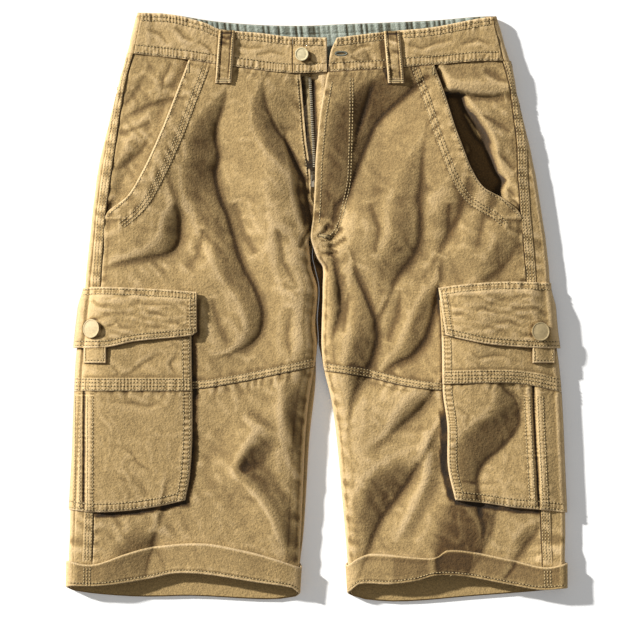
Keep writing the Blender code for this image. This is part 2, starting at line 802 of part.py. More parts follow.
FrontLoop = namedtuple("FrontLoop", "side top_x bottom_x bottom_y")
FRONT_LOOPS = (FrontLoop(LEFT, -103, -107, 256), FrontLoop(RIGHT, 85.5, 90.5, 256))
FRONT_LOOP_LEVELS = (0, 0.12, 0.3, 0.5, 0.7, 0.88, 1)
BACK_LOOPS = {"left": -120, "centre": 0, "right": 120}
BACK_LOOP_LENGTH = 62.0
BACK_LOOP_INSET = 2.0        # from the back band's upper edge
LOOP_INSET = 0.6


def front_loop(loop):
    """A strip sewn down at both ends and arched between them."""
    rows = []
    top_y = along(BAND_TOP[loop.side], loop.top_x) - LOOP_INSET
    half = LOOP_WIDTH / 2
    for t in FRONT_LOOP_LEVELS:
        y = mix(top_y, loop.bottom_y, t)
        middle = mix(loop.top_x, loop.bottom_x, t)
        under = max(
            band_height(middle, y),
            max(front_height(loop.side, middle + w, y) for w in (-half, half)),
        )
        arch = LOOP_LIFT * smooth(4 * t * (1 - t))
        z = under + 2 * GAP + arch + CLOTH
        rows.append([Vector((middle + w * half, y, z)) for w in (-1, 0, 1)])
    return sheet("belt_loop_front_" + SIDES[loop.side], rows)


def back_loop(name, x):
    """A strip pressed flat under the back band."""
    top = along(BACK_BAND_TOP, x) - BACK_LOOP_INSET
    rows = [
        [Vector((x + w * LOOP_WIDTH / 2, top - t * BACK_LOOP_LENGTH, CLOTH)) for w in (-1, 1)]
        for t in even(1)
    ]
    return sheet("belt_loop_back_" + name, rows)


# --- Fly -----------------------------------------------------------------------


def shield_height(x, y):
    """Level, and rising to the band where it is sewn to it."""
    return SHIELD_HEIGHT + SHIELD_RISE * smooth((y - SHIELD_RISE_FROM) / SHIELD_RISE_RUN)


def fly_shield():
    rows = grid_between(
        lambda y: SHIELD_SPAN[0],
        lambda y: mix(SHIELD_FOOT, SHIELD_SPAN[1], smooth((y - SHIELD_LOW) / SHIELD_CURVE)),
        lambda x: along(WAIST_SEAM[LEFT], x) - GAP,
        lambda x: SHIELD_LOW,
        shield_height,
        2,
        (0, 0.05, 0.11, 0.5, 0.8, 1),
    )
    return sheet("fly_shield", rows)


def zip_tape_left():
    rows = grid_between(
        lambda y: along(INNER[LEFT], y) - TAPE_LAP,
        lambda y: along(ZIP_EDGE, y),
        lambda x: ZIP_TOP,
        lambda x: ZIP_LOW,
        lambda x, y: shield_height(x, y) + GAP + TAPE_CLOTH,
        2,
        (0, 0.06, 0.13, 0.4, 0.7, 1),
    )
    return sheet("zip_tape_left", rows, TAPE_CLOTH, colour=TAPE_COLOUR)


def zip_tape_right():
    """Sewn under the overlap, which hides it."""
    rows = grid_between(
        lambda y: along(INNER[RIGHT], y) + TAPE_INSET,
        lambda y: along(INNER[RIGHT], y) + TAPE_INSET + TAPE_WIDTH,
        lambda x: ZIP_TOP,
        lambda x: ZIP_LOW,
        lambda x, y: front_height(RIGHT, x, y) - 2 * LAYER,
        2,
        even(6),
    )
    return sheet("zip_tape_right", rows, TAPE_CLOTH, colour=TAPE_COLOUR)


def block(low, high):
    """A box as a mesh, from its lowest and highest corners in millimetres."""
    bm = bmesh.new()
    bmesh.ops.create_cube(bm, size=1)
    for vert in bm.verts:
        for axis in range(3):
            vert.co[axis] = mix(low[axis], high[axis], vert.co[axis] + 0.5) * MM
    mesh = bpy.data.meshes.new("block")
    bm.to_mesh(mesh)
    bm.free()
    return mesh


def boolean(target, low, high, operation):
    cutter = bpy.data.objects.new(target.name + "_" + operation.lower(), block(low, high))
    cutter.hide_render = True
    cutter.display_type = "WIRE"
    CUTTERS.objects.link(cutter)
    modifier = target.modifiers.new(operation.title(), "BOOLEAN")
    modifier.operation = operation
    modifier.object = cutter


def add_metal(name, mesh):
    return add_object(name, mesh, colour=METAL_COLOUR, roughness=0.45, metallic=0.9)


def zip_slider():
    """A plate with a narrow bridge above it, under which the pull's cross bar turns."""
    plate_top = PULL_Z - PULL_THICK / 2 - PULL_PLAY
    window_top = PULL_Z + PULL_THICK / 2 + PULL_PLAY
    half_width, half_length = SLIDER_SIZE[0] / 2, SLIDER_SIZE[1] / 2
    half_bridge, bridge_reach = BRIDGE_SIZE[0] / 2, BRIDGE_SIZE[1] / 2
    made = add_metal(
        "zip_slider",
        block(
            (PULL_X - half_width, PULL_Y - half_length, plate_top - SLIDER_SIZE[2]),
            (PULL_X + half_width, PULL_Y + half_length, plate_top),
        ),
    )
    boolean(
        made,
        (PULL_X - half_bridge, PULL_Y - bridge_reach, plate_top - 1),
        (PULL_X + half_bridge, PULL_Y + bridge_reach, window_top + BRIDGE_SIZE[2]),
        "UNION",
    )
    boolean(
        made,
        (PULL_X - half_width, PULL_Y - bridge_reach + 1, plate_top),
        (PULL_X + half_width, PULL_Y + bridge_reach - 1, window_top),
        "DIFFERENCE",
    )
    return made


def zip_pull():
    """A flat ring: its top bar is the hinge, and its long hole clears the slider's bridge."""
    half = PULL_THICK / 2
    made = add_metal(
        "zip_pull",
        block((-PULL_WIDTH / 2, -PULL_LENGTH, -half), (PULL_WIDTH / 2, half, half)),
    )
    made.location = Vector((PULL_X, PULL_Y, PULL_Z)) * MM
    half_hole = PULL_WIDTH / 2 - PULL_RIM
    boolean(
        made,
        (PULL_X - half_hole, PULL_Y - half - PULL_HOLE, PULL_Z - PULL_THICK),
        (PULL_X + half_hole, PULL_Y - half, PULL_Z + PULL_THICK),
        "DIFFERENCE",
    )
    return made


# --- Cargo pockets -------------------------------------------------------------


def pocket_lift(side, x, y):
    """Height of a pocket over the leg: full inside, turned down at the free edges."""
    inner = abs(x) - abs(along(POCKET_INNER[side], y))
    low = y - along(POCKET_BOTTOM[side], x)
    return mix(SEWN_LIFT, POCKET_DEPTH, quarter(min(inner, low) / POCKET_SHOULDER))


def pleat_dip(side, x, y):
    """The box pleat's slot, which fades where the pocket is sewn at the bottom."""
    apart = abs(x - along(PLEAT[side], y)) / PLEAT_HALF
    low = y - along(POCKET_BOTTOM[side], x)
    return PLEAT_DEPTH * clamp(1 - apart) * clamp(low / PLEAT_FADE)


def pocket_height(side, x, y):
    return layer_height(side, x, y, pocket_lift(side, x, y))


def pocket_lower_height(side, x, y):
    return pocket_height(side, x, y) - pleat_dip(side, x, y)


POCKET_SHARES = (0, 0.02, 0.055, 0.11, 0.18, 0.27, 0.4, 0.55, 0.7, 0.85, 0.945, 0.98, 1)


def shaped(side, name, inner_edge, top, bottom, height, levels, snug=lambda y: SNUG, crease=None):
    """A piece on the leg whose outer edge lies on the side fold, with columns at any crease."""
    rows = grid_between(
        lambda y: along(OUTER[side], y) + side * snug(y),
        lambda y: along(inner_edge, y),
        top,
        bottom,
        height,
        1,
        levels,
    )
    full = []
    for row, level in zip(rows, levels):
        start, end = row
        points = []
        for share in crease_shares(start, end, crease):
            x = mix(start.x, end.x, share)
            y = mix(top(x), bottom(x), level)
            points.append(Vector((x, y, height(x, y))))
        full.append(points)
    return sheet(name, full)


def crease_shares(start, end, crease):
    if crease is None:
        return POCKET_SHARES
    width = abs(end.x - start.x)
    middle = abs(along(crease, start.y) - start.x) / width
    nominal = abs(crease[0][1] - start.x) / width
    half = PLEAT_HALF / width
    kept = [share for share in POCKET_SHARES if abs(share - nominal) > 1.8 * half]
    return sorted(kept + [middle - half, middle, middle + half])


def pocket_upper(side):
    return shaped(
        side,
        "pocket_upper_" + SIDES[side],
        POCKET_INNER[side],
        lambda x: POCKET_TOP,
        lambda x: along(POCKET_BAND[side], x) + GAP / 2,
        partial(pocket_height, side),
        even(5),
    )


def pocket_lower(side):
    return shaped(
        side,
        "pocket_lower_" + SIDES[side],
        POCKET_INNER[side],
        lambda x: along(POCKET_BAND[side], x) - GAP / 2,
        lambda x: along(POCKET_BOTTOM[side], x),
        partial(pocket_lower_height, side),
        (0, 0.2, 0.4, 0.6, 0.8, 0.93, 0.98, 1),
        crease=PLEAT[side],
    )


def flap_snug(y):
    return mix(SNUG, FLAP_SNUG, smooth((FLAP_ROUND[0] - y) / FLAP_ROUND[1]))


def flap_height(side, x, y):
    sewn = smooth((along(FLAP_TOP[side], x) - y) / FLAP_HEAD)
    free = smooth((abs(x) - abs(along(FLAP_INNER[side], y))) / FLAP_EDGE)
    lift = mix(SEWN_LIFT, FLAP_DEPTH, sewn * mix(FLAP_EDGE_SHARE, 1, free))
    return layer_height(side, x, y, lift, flap_snug(y))


def pocket_flap(side):
    return shaped(
        side,
        "pocket_flap_" + SIDES[side],
        FLAP_INNER[side],
        lambda x: along(FLAP_TOP[side], x),
        lambda x: along(FLAP_BOTTOM[side], x),
        partial(flap_height, side),
        (0, 0.1, 0.22, 0.5, 0.8, 1),
        snug=flap_snug,
    )


def pocket_tab(side):
    near, far = TAB_SPAN[side]
    rows = grid_between(
        lambda y: near,
        lambda y: far,
        lambda x: TAB_HIGH,
        lambda x: TAB_LOW,
        lambda x, y: pocket_height(side, x, y) + LAYER,
        4,
        even(2),
    )
    return sheet("pocket_tab_" + SIDES[side], rows)


# --- Buttons -------------------------------------------------------------------

Button = namedtuple("Button", "name x y diameter")
WAIST_BUTTON = Button("waist_button", -17.5, 288.5, 15.5)
POCKET_BUTTONS = {
    LEFT: Button("pocket_button_left", -256, -24.7, 21.4),
    RIGHT: Button("pocket_button_right", 254.3, -28.1, 21.4),
}


# The turned profile from the middle of the face, over the rim, to the middle of the back:
# a share of the radius and a height.
BUTTON_PROFILE = ((0, 3.0), (0.72, 3.0), (0.8, 3.5), (0.92, 3.5), (1, 2.6), (1, 0.8), (0.9, 0), (0, 0))
BUTTON_SIDES = 24


def button(spec, height):
    """A turned disc with a low rim, laid on the slope of the cloth under it."""
    radius = spec.diameter / 2
    bm = bmesh.new()
    points = [bm.verts.new(Vector((share * radius, 0, z)) * MM) for share, z in BUTTON_PROFILE]
    for start, end in zip(points, points[1:]):
        bm.edges.new((start, end))
    mesh = bpy.data.meshes.new(spec.name)
    bm.to_mesh(mesh)
    bm.free()
    made = add_object(spec.name, mesh, colour=BUTTON_COLOUR, roughness=0.5)
    slope_x = (height(spec.x + radius, spec.y) - height(spec.x - radius, spec.y)) / spec.diameter
    slope_y = (height(spec.x, spec.y + radius) - height(spec.x, spec.y - radius)) / spec.diameter
    made.rotation_euler = Vector((-slope_x, -slope_y, 1)).to_track_quat("Z", "Y").to_euler()
    seat = height(spec.x, spec.y)
    for step in range(BUTTON_SIDES):
        angle = math.tau * step / BUTTON_SIDES
        for reach in (0.5 * radius, radius):
            dx = reach * math.cos(angle)
            dy = reach * math.sin(angle)
            above = height(spec.x + dx, spec.y + dy) - dx * slope_x - dy * slope_y
            seat = max(seat, above)
    made.location = Vector((spec.x, spec.y, seat + 2 * GAP)) * MM
    screw = made.modifiers.new("Turn", "SCREW")
    screw.steps = BUTTON_SIDES
    screw.render_steps = BUTTON_SIDES
    screw.use_merge_vertices = True
    screw.merge_threshold = 0.00001
    return made


def build():
    for side in SIDES:
        upper_front(side)
        lower_front(side)
        hip(side)
        back(side)
        cuff(side)
        pocket_upper(side)
        pocket_lower(side)
        pocket_flap(side)
        pocket_tab(side)
        button(POCKET_BUTTONS[side], partial(flap_height, side))
    waistband_front_left()
    waistband_front_right()
    button_extension()
    waistband_back()
    waistband_lining()
    button(WAIST_BUTTON, extension_height)
    for loop in FRONT_LOOPS:
        front_loop(loop)
    for name, x in BACK_LOOPS.items():
        back_loop(name, x)
    fly_shield()
    zip_tape_left()
    zip_tape_right()
    zip_slider()
    zip_pull()


for old in list(bpy.data.objects):
    bpy.data.objects.remove(old)
PARTS = bpy.data.collections.new("cargo_shorts")
CUTTERS = bpy.data.collections.new("cutters")
bpy.context.scene.collection.children.link(PARTS)
bpy.context.scene.collection.children.link(CUTTERS)
build()
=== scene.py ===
# Cargo shorts lying flat, front up. The tables are in millimetres: +Y is the waist, +Z is up,
# and left is -X. Lengths become metres only where a mesh is made.
import math

import bmesh
import bpy
import numpy as np
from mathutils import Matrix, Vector
from mathutils.bvhtree import BVHTree


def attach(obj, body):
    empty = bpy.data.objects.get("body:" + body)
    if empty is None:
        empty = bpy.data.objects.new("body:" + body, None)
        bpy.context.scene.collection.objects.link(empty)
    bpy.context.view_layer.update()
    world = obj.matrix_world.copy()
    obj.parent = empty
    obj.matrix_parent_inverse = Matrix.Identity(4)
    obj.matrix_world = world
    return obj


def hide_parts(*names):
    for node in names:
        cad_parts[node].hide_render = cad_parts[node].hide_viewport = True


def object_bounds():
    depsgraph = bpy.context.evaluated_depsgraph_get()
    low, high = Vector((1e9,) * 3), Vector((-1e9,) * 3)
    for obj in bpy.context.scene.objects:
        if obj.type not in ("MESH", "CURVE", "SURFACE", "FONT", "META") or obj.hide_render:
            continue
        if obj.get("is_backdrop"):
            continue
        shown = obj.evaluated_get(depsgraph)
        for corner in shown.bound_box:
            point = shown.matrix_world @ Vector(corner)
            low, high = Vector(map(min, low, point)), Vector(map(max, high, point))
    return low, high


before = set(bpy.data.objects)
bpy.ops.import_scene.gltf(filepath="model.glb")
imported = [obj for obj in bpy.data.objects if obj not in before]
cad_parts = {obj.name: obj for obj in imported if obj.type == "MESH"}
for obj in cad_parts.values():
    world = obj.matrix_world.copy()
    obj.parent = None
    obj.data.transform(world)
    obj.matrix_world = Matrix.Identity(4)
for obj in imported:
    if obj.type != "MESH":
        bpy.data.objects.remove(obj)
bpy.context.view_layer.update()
mm = 0.001
left, right = -1, 1
sideName = {left: "left", right: "right"}

cloth = {"thick": 1.6, "band": 2.6, "tape": 1.0, "gap": 0.3}
gapHalf = cloth["gap"] / 2
layer = cloth["thick"] + cloth["gap"]
cuffLayer = layer + 3 * cloth["gap"]
snug = layer + cloth["gap"]
flapSnug = 3 * layer + 3 * cloth["gap"]

form = {
    "roll": 6.0,            # radius of the fold at the sides
    "inseamHeight": 8.0,
    "outerShoulder": {left: 50.0, right: 105.0},
    "foldShoulder": 40.0,
    "innerShoulder": 34.0,
    "lowest": {"leg": 7.3, "fly": 9.5},
    "deepestFold": 16.5,
    "flyStep": {left: -8.5, right: 1.5},
    "flyReach": {left: 52.0, right: 30.0},
    "softFoot": 1.4,
    "softRidge": 2.0,
    "knee": -96.0,
    "waist": 290.0,
    "mouthLow": 106.0,
    "hem": -320.0,
}

# y, outer edge and side seam on the left, the same on the right, height of the middle
sections = (
    (290, -218, -210, 221, 210, 15),
    (255, -227, -219, 227, 220, 18),
    (220, -236, -225, 235, 225, 21),
    (185, -245.5, -230, 244, 229, 23),
    (150, -252, -235, 251, 230, 24),
    (125, -255.5, -238.5, 255, 232, 24),
    (106, -258, -241, 258, 233, 24),
    (75, -261, -243.5, 263, 236, 24),
    (40, -265, -246, 266, 239, 23),
    (5, -267.5, -248, 267.5, 241, 23),
    (-30, -271.5, -249.5, 270.5, 243.5, 23),
    (-65, -275, -250, 275.5, 246, 22),
    (-96, -276.5, -251, 278.5, 248, 22),
    (-130, -278, -252, 280.5, 250, 22),
    (-165, -279, -253, 282, 252, 21),
    (-200, -281, -254, 283.5, 254, 20),
    (-235, -283, -255, 285, 256, 19),
    (-265, -284, -256, 285, 257, 18),
    (-290, -284.5, -257, 284.5, 258, 17),
    (-320, -285.2, -258, 284.5, 259, 16),
)

# y, then the left and the right front's edge at the fly and the inseam
innerEdges = (
    (270, -19, 12.6), (250, -17.5, 8.5), (218, -14.8, 3), (190, -12.3, 0.3), (165, -8.8, -1.8),
    (147, -7.2, -2.3), (133, -7, -2.8), (124, -6.4, -3.3), (112, -1.5, -4), (100, 0, -4.8), (88, -3, -6.5),
    (78, -9, -7), (66, -8.8, -3.5), (55, -7.8, 0.5), (45, -6.5, 6.5), (20, 0.5, 6), (-20, -2, 5),
    (-45, 0, 4.5), (-70, -3, 7.5), (-105, -9, 16), (-145, -13, 22), (-220, -16.5, 29), (-265, -18.5, 33),
    (-330, -22.5, 38),
)

# y, then the left and the right slant pocket's mouth
mouthEdges = (
    (290, -145, 130), (276, -149.5, 134.6), (248, -160, 145), (208, -175, 157.4),
    (180, -187, 167.7), (159, -197, 176), (136, -209.5, 191.5), (124, -219, 213),
    (106, -241, 233),
)
inseamBulge = ((-60, 0), (-105, 7), (-165, 5), (-250, 3), (-290, 0))

# edges that run across, as (x, y)
waistSeam = {
    left: ((-220, 291), (-148, 283), (-95, 275), (-31, 267.5), (12, 268.5)),
    right: ((13, 269), (68, 272), (135, 277), (180, 281), (222, 282)),
}
bandTop = {
    left: ((-206, 337), (-168, 335), (-128, 325), (-112, 318), (-67, 313.5), (-31, 309), (12, 308)),
    right: ((22, 308), (76, 315), (129, 319.5), (185, 330), (205, 333)),
}
backBandTop = (
    (-206, 338), (-168, 336), (-120, 328.5), (-67, 324), (-15, 323), (30, 325), (86, 327),
    (138, 329.5), (185, 333.5), (206, 334),
)
backBandBottom = ((-218, 290), (-90, 278), (0, 275), (90, 277), (221, 282))
kneeSeam = {
    left: ((-280, -96), (-142, -94), (-90, -86.5), (-49, -78), (-2, -68)),
    right: ((7, -73), (56, -80), (99, -90), (142, -95.5), (280, -97)),
}
cuffTop = {
    left: ((-286, -289), (-267, -294), (-250, -293), (-220, -282.5), (-189, -274.5), (-131, -270),
           (-81, -278.5), (-50, -287), (-20, -298)),
    right: ((37, -295), (47, -287), (64, -282), (127, -287), (138, -285), (149, -278), (180, -280.5),
            (224, -289.5), (261, -297.5), (287, -293)),
}
hemFront = {
    left: ((-288, -319), (-244, -318.5), (-191, -311), (-162, -305), (-126, -306), (-71, -314.5),
           (-30, -321), (-22, -327)),
    right: ((38, -326), (49, -317), (83, -317), (114, -313), (136, -307), (172, -309), (224, -318.5),
            (256, -323.5), (286, -321.5)),
}
hemBack = {
    left: ((-288, -322), (-279, -326), (-244, -330.5), (-197, -333), (-142, -332), (-61, -336),
           (-27, -334), (-22, -331)),
    right: ((38, -331), (55, -336), (98, -338.5), (182, -332), (246, -327), (286, -323)),
}
cuffBackTop = -293.0
frontLoops = ((left, -103, -107, 256.0), (right, 85.5, 90.5, 256.0))
loopWidth, loopThick, loopLong = 18.5, 1.1, {"front": 55, "back": 62}

# cargo pockets and flaps: edges nearer the inseam as (y, x), the others as (x, y)
pocketTop = 8.0
pocketInner = {
    left: ((18, -141), (-34, -143), (-140, -142), (-192, -145), (-221, -150.5)),
    right: ((18, 139), (-39, 142.5), (-96, 143.5), (-135, 148.5), (-183, 149.5), (-221, 158)),
}
pocketBottom = {
    left: ((-288, -232), (-254, -234.5), (-214, -232.5), (-175, -226.5), (-150, -220.5)),
    right: ((158, -220.5), (191, -224.5), (225, -229.5), (254, -232), (289, -236)),
}
pocketBand = {
    left: ((-282, -96), (-142, -96)),
    right: ((143, -88), (226, -87.5), (282, -97.5)),
}
flapTop = {
    left: ((-272, 21.5), (-249, 23), (-184, 20.5), (-136, 17)),
    right: ((137, 21.5), (160, 25), (215, 29), (272, 27.5)),
}
flapBottom = {
    left: ((-281, -47), (-239, -46), (-208, -39.5), (-143, -32.5), (-136, -28)),
    right: ((146, -32), (164, -36.5), (195, -42.5), (242, -46.5), (281, -47.5)),
}
flapInner = {
    left: ((25, -136.7), (-35, -136.7)),
    right: ((25, 138), (-35, 147)),
}
pleat = {left: ((-90, -266), (-235, -266.5)), right: ((-90, 247), (-235, 254))}
tabSpan = {left: (-266.5, -240), right: (246, 272)}


def clamp(value, low=0.0, high=1.0):
    return np.minimum(np.maximum(value, low), high)


def mix(a, b, t):
    return a + (b - a) * t


def smooth(t):
    t = clamp(t)
    return t * t * (3 - 2 * t)


def bell(distance, half):            # 1 on a line, fading on both sides of it
    return np.exp(-(distance / half) ** 2)


def quarter(t):                      # rises like a quarter of a circle
    t = clamp(t)
    return np.sqrt(t * (2 - t))


def along(table, at):                # a smooth curve through (place, value) pairs
    table = np.array(sorted(map(tuple, table)), float)
    xs, ys = table[:, 0], table[:, 1]
    at = clamp(np.asarray(at, float), xs[0], xs[-1])
    i = clamp(np.searchsorted(xs, at, side="left") - 1, 0, len(xs) - 2).astype(int)
    before, after = np.maximum(i - 1, 0), np.minimum(i + 2, len(xs) - 1)
    span = xs[i + 1] - xs[i]
    slope0 = (ys[i + 1] - ys[before]) / (xs[i + 1] - xs[before])
    slope1 = (ys[after] - ys[i]) / (xs[after] - xs[i])
    t = (at - xs[i]) / span
    return (ys[i] * (1 + 2 * t) * (1 - t) ** 2 + slope0 * span * t * (1 - t) ** 2
            + ys[i + 1] * t * t * (3 - 2 * t) + slope1 * span * t * t * (t - 1))


def columns(rows, *picks):           # (place, value) pairs for each side out of a table
    return {side: tuple((row[0], row[pick]) for row in rows) for side, pick in zip((left, right), picks)}


# rows of stitches: how far each runs from its seam or edge
seamRows = {"knee": (1.6, 4.8, 8.1), "side": (1.6, 5, 8.6), "mouth": (2.5, 18, 21.5, 25), "pocket": (3, 10),
            "pocketBand": (1.6, 5.6, 9.6, 13.6), "pleat": (-10.5, -4.5, 4.5, 10.5), "flap": (3, 7.5),
            "flapTop": (2.5, 8), "bandTop": (4.5, 9), "bandLow": (1.8, 10)}

outer = columns(sections, 1, 3)
seam = columns(sections, 2, 4)
inner = columns(innerEdges, 1, 2)
mouth = columns(mouthEdges, 1, 2)
crown = tuple((row[0], row[5]) for row in sections)


def settle(x, wanted):               # the x at which wanted(x) gives x back
    for _ in range(14):
        x = mix(x, wanted(x), 0.6)
    return x


# Soft random shapes, the same in every run

def softNoise(x, y, size, seed):     # -1 to 1, bumps about `size` apart
    table = np.random.default_rng(seed).uniform(-1, 1, (61, 67))
    turn = 0.6 + 0.37 * seed
    x, y = np.asarray(x, float), np.asarray(y, float)
    u = (x * math.cos(turn) - y * math.sin(turn)) / size + 500
    v = (x * math.sin(turn) + y * math.cos(turn)) / size + 500
    i, j = np.floor(u).astype(int), np.floor(v).astype(int)
    partU, partV = smooth(u - i), smooth(v - j)
    low = mix(table[i % 61, j % 67], table[(i + 1) % 61, j % 67], partU)
    high = mix(table[i % 61, (j + 1) % 67], table[(i + 1) % 61, (j + 1) % 67], partU)
    return mix(low, high, partV)


def nearLine(line, x, y):            # signed distance from a polyline, + on its left, and length along it
    x, y = np.asarray(x, float), np.asarray(y, float)
    best, place, travelled = np.full(x.shape, 1e9), np.zeros(x.shape), 0.0
    for (ax, ay), (bx, by) in zip(line, line[1:]):
        ux, uy = bx - ax, by - ay
        length = math.hypot(ux, uy)
        t = clamp(((x - ax) * ux + (y - ay) * uy) / length ** 2)
        dx, dy = x - ax - t * ux, y - ay - t * uy
        apart = np.hypot(dx, dy)
        closer = apart < np.abs(best)
        best = np.where(closer, np.where(ux * dy - uy * dx >= 0, apart, -apart), best)
        place = np.where(closer, travelled + t * length, place)
        travelled += length
    return best, place


def wave(s, pitch, seed):            # -1 to 1 along a line
    table = np.random.default_rng(seed).uniform(-1, 1, 997)
    u = s / pitch + 300
    i = np.floor(u).astype(int)
    return mix(table[i % 997], table[(i + 1) % 997], smooth(u - i))


def foldAt(points, depth, before, after, x, y, power=1.5):      # a soft trough along a line
    best, place = nearLine(points, x, y)
    total = sum(math.dist(a, b) for a, b in zip(points, points[1:]))
    width = np.where(best > 0, after, before)
    taper = np.sin(math.pi * clamp(place / total)) ** 0.6
    return -depth * taper * clamp(1 - np.abs(best) / width) ** power


def smoothed(rows, steps=4):         # a smooth curve through the rows of a table, all columns alike
    rows = np.array(rows, float)
    places = np.concatenate([[0], np.cumsum(np.hypot(*np.diff(rows[:, :2], axis=0).T))])
    at = np.concatenate([np.linspace(a, b, steps, endpoint=False) for a, b in zip(places, places[1:])])
    at = np.append(at, places[-1])
    return np.stack([along(np.column_stack([places, rows[:, k]]), at) for k in range(rows.shape[1])], axis=1)


# The main folds, waist to hem. Each row is a place on the sharp foot of the fold, and how far its
# lee face reaches on the -X side there; the last number is that face's steepness.
folds = (
    (((-104, 248, 3), (-108, 228, 16), (-114, 208, 26), (-115, 190, 36), (-112, 172, 44), (-115, 150, 46),
      (-110, 128, 42), (-102, 106, 42), (-96, 86, 40), (-90, 66, 34), (-82, 44, 30), (-70, 22, 29),
      (-62, 0, 28), (-61, -18, 26), (-67, -34, 19), (-80, -46, 11), (-96, -51, 4)), 0.29),
    (((-162, 118, 4), (-156, 98, 26), (-157, 76, 32), (-168, 62, 22), (-190, 56, 12), (-215, 52, 7),
      (-234, 48, 3)), 0.27),
    (((-62, 256, 4), (-60, 238, 16), (-53, 218, 26), (-43, 200, 30), (-29, 181, 28), (-21, 166, 22),
      (-15, 152, 8)), 0.3),
    (((-36, 196, 3), (-27, 180, 9), (-19, 165, 13), (-12, 148, 19), (-7, 132, 26), (-4, 114, 24),
      (-4, 98, 17), (-6, 84, 7)), 0.62),
    (((130, 266, 8), (118, 256, 34), (100, 240, 52), (82, 224, 60), (67, 207, 62), (57, 184, 58),
      (48, 162, 52), (41, 143, 48), (35, 128, 42), (25, 116, 32), (20, 100, 24), (17, 85, 13),
      (15, 76, 4)), 0.27),
    (((66, 262, 4), (61, 248, 16), (56, 232, 20), (50, 214, 14), (44, 196, 4)), 0.3),
    (((122, 192, 4), (120, 168, 18), (120, 145, 32), (118, 125, 38), (119, 105, 36), (119, 85, 42),
      (115, 66, 50), (105, 49, 44), (93, 35, 30), (84, 18, 10)), 0.15),
    (((172, 150, 8), (170, 128, 34), (163, 104, 40), (152, 84, 30), (140, 66, 8)), 0.1),
    (((232, 96, 6), (228, 72, 26), (218, 52, 34), (204, 38, 26), (186, 30, 8)), 0.11),
    (((14, 72, 4), (20, 50, 12), (25, 28, 16), (26.5, 8, 18), (25.5, -8, 15), (20, -24, 9),
      (14, -38, 3)), 0.42),
    (((42, 48, 4), (48, 30, 14), (56, 15, 22), (62, 0, 30), (68, -18, 36), (70, -34, 40), (67, -50, 38),
      (62, -66, 36), (55, -80, 32), (46, -95, 22), (40, -108, 13), (36, -130, 4)), 0.29),
    (((138, 26, 5), (136, 2, 24), (132, -15, 26), (127, -33, 30), (119, -47, 30), (107, -58, 22),
      (92, -64, 12), (78, -72, 4)), 0.33),
    (((-10, -84, 8), (-12, -105, 26), (-15, -130, 30), (-18, -155, 24), (-21, -180, 8)), 0.15),
    (((-184, -256, 8), (-187, -272, 40), (-189, -292, 64), (-190, -312, 66), (-196, -338, 54)), 0.26),
    (((118, -176, 10), (106, -200, 42), (92, -220, 56), (78, -238, 50), (68, -256, 38), (58, -280, 20),
      (50, -298, 8)), 0.29),
    (((132, -98, 9), (120, -115, 22), (104, -130, 20), (84, -144, 6)), 0.28),
    (((211, -204, 3), (207, -220, 26), (203, -238, 72), (200, -258, 80), (189, -280, 80), (177, -298, 70),
      (173, -318, 64), (168, -338, 58)), 0.09),
    (((203, -84, 3), (214, -93, 16), (228, -107, 34), (232, -130, 60), (223, -149, 68), (208, -164, 60),
      (192, -178, 46), (184, -194, 34), (185, -214, 26), (186, -232, 12), (187, -244, 3)), 0.3),
    (((259, -242, 4), (251, -259, 16), (239, -275, 20), (226, -292, 8)), 0.3),
    (((-162, 239, 5), (-182, 234, 17), (-202, 226, 14), (-224, 214, 4)), 0.26),
    (((-198, 266, 3), (-205, 252, 11), (-214, 239, 14), (-226, 226, 6)), 0.3),
    (((-192, 194, 3), (-202, 178, 10), (-216, 166, 10), (-232, 156, 4)), 0.2),
)
# broad ridges: a line, its depth (below 0 it stands up), and its reach on each side
ridgeFolds = (
    (((-62, -132), (-93, -183), (-77, -203), (-62, -222), (-48, -246), (-30, -290)), -10, 34, 26),
    (((-42, -80), (-41, -110), (-36, -135), (-25, -160)), -3, 28, 18),
    (((125, -140), (126, -190), (108, -232), (88, -272)), -5, 34, 14),
    (((131, -276), (133, -325)), -2, 12, 7),
    (((-168, 250), (-176, 200), (-190, 140), (-196, 90)), -3, 40, 40),
    (((-60, 150), (-50, 60), (-30, -20)), -2.5, 45, 45),
)
# painted shade beside crests that shade at once on their +X side: line, reach, how deep
crestShades = (
    (((-70, -158), (-84, -170), (-95, -184), (-90, -196)), 22, 0.9),
    (((-95, -186), (-84, -198), (-68, -214), (-55, -234), (-45, -258), (-36, -284)), 40, 0.62),
    (((-42, -84), (-41, -110), (-36, -135), (-25, -160)), 16, 0.45),
)
smoothFolds = [(smoothed(rows), steep) for rows, steep in folds]
smoothRidges = [(smoothed(rows), *sizes) for rows, *sizes in ridgeFolds]


def faceAt(rows, steep, x, y):       # a fold's lee face on one side of its foot, its lit face on the other, and the shade painted on its lee face
    value, shade = np.zeros(np.shape(x)), np.zeros(np.shape(x))
    reach = 1.8 * rows[:, 2].max() + 18
    near = ((x > rows[:, 0].min() - reach) & (x < rows[:, 0].max() + reach)
            & (y > rows[:, 1].min() - reach) & (y < rows[:, 1].max() + reach))
    if not near.any():
        return value, shade
    apart, _ = nearLine(rows[:, :2], x[near], y[near])
    weights = [((x[near] - a) ** 2 + (y[near] - b) ** 2 + 6) ** -2 for a, b, _ in rows]
    width = sum(weight * row[2] for weight, row in zip(weights, rows)) / sum(weights)
    lee = clamp(1 + apart / np.maximum(width, 0.5))
    lit = clamp(1 - apart / (1.7 * width + 16))
    full = np.tanh(steep * width / 10)
    fall = 0.75 * lee ** 1.2 + 0.25 * lee ** 5
    value[near] = -0.82 * form["deepestFold"] * full * np.where(apart < 0, fall, lit ** 1.5)
    shade[near] = full * smooth(2.4 * lee) * smooth(0.5 - apart / 1.5)
    return value, shade


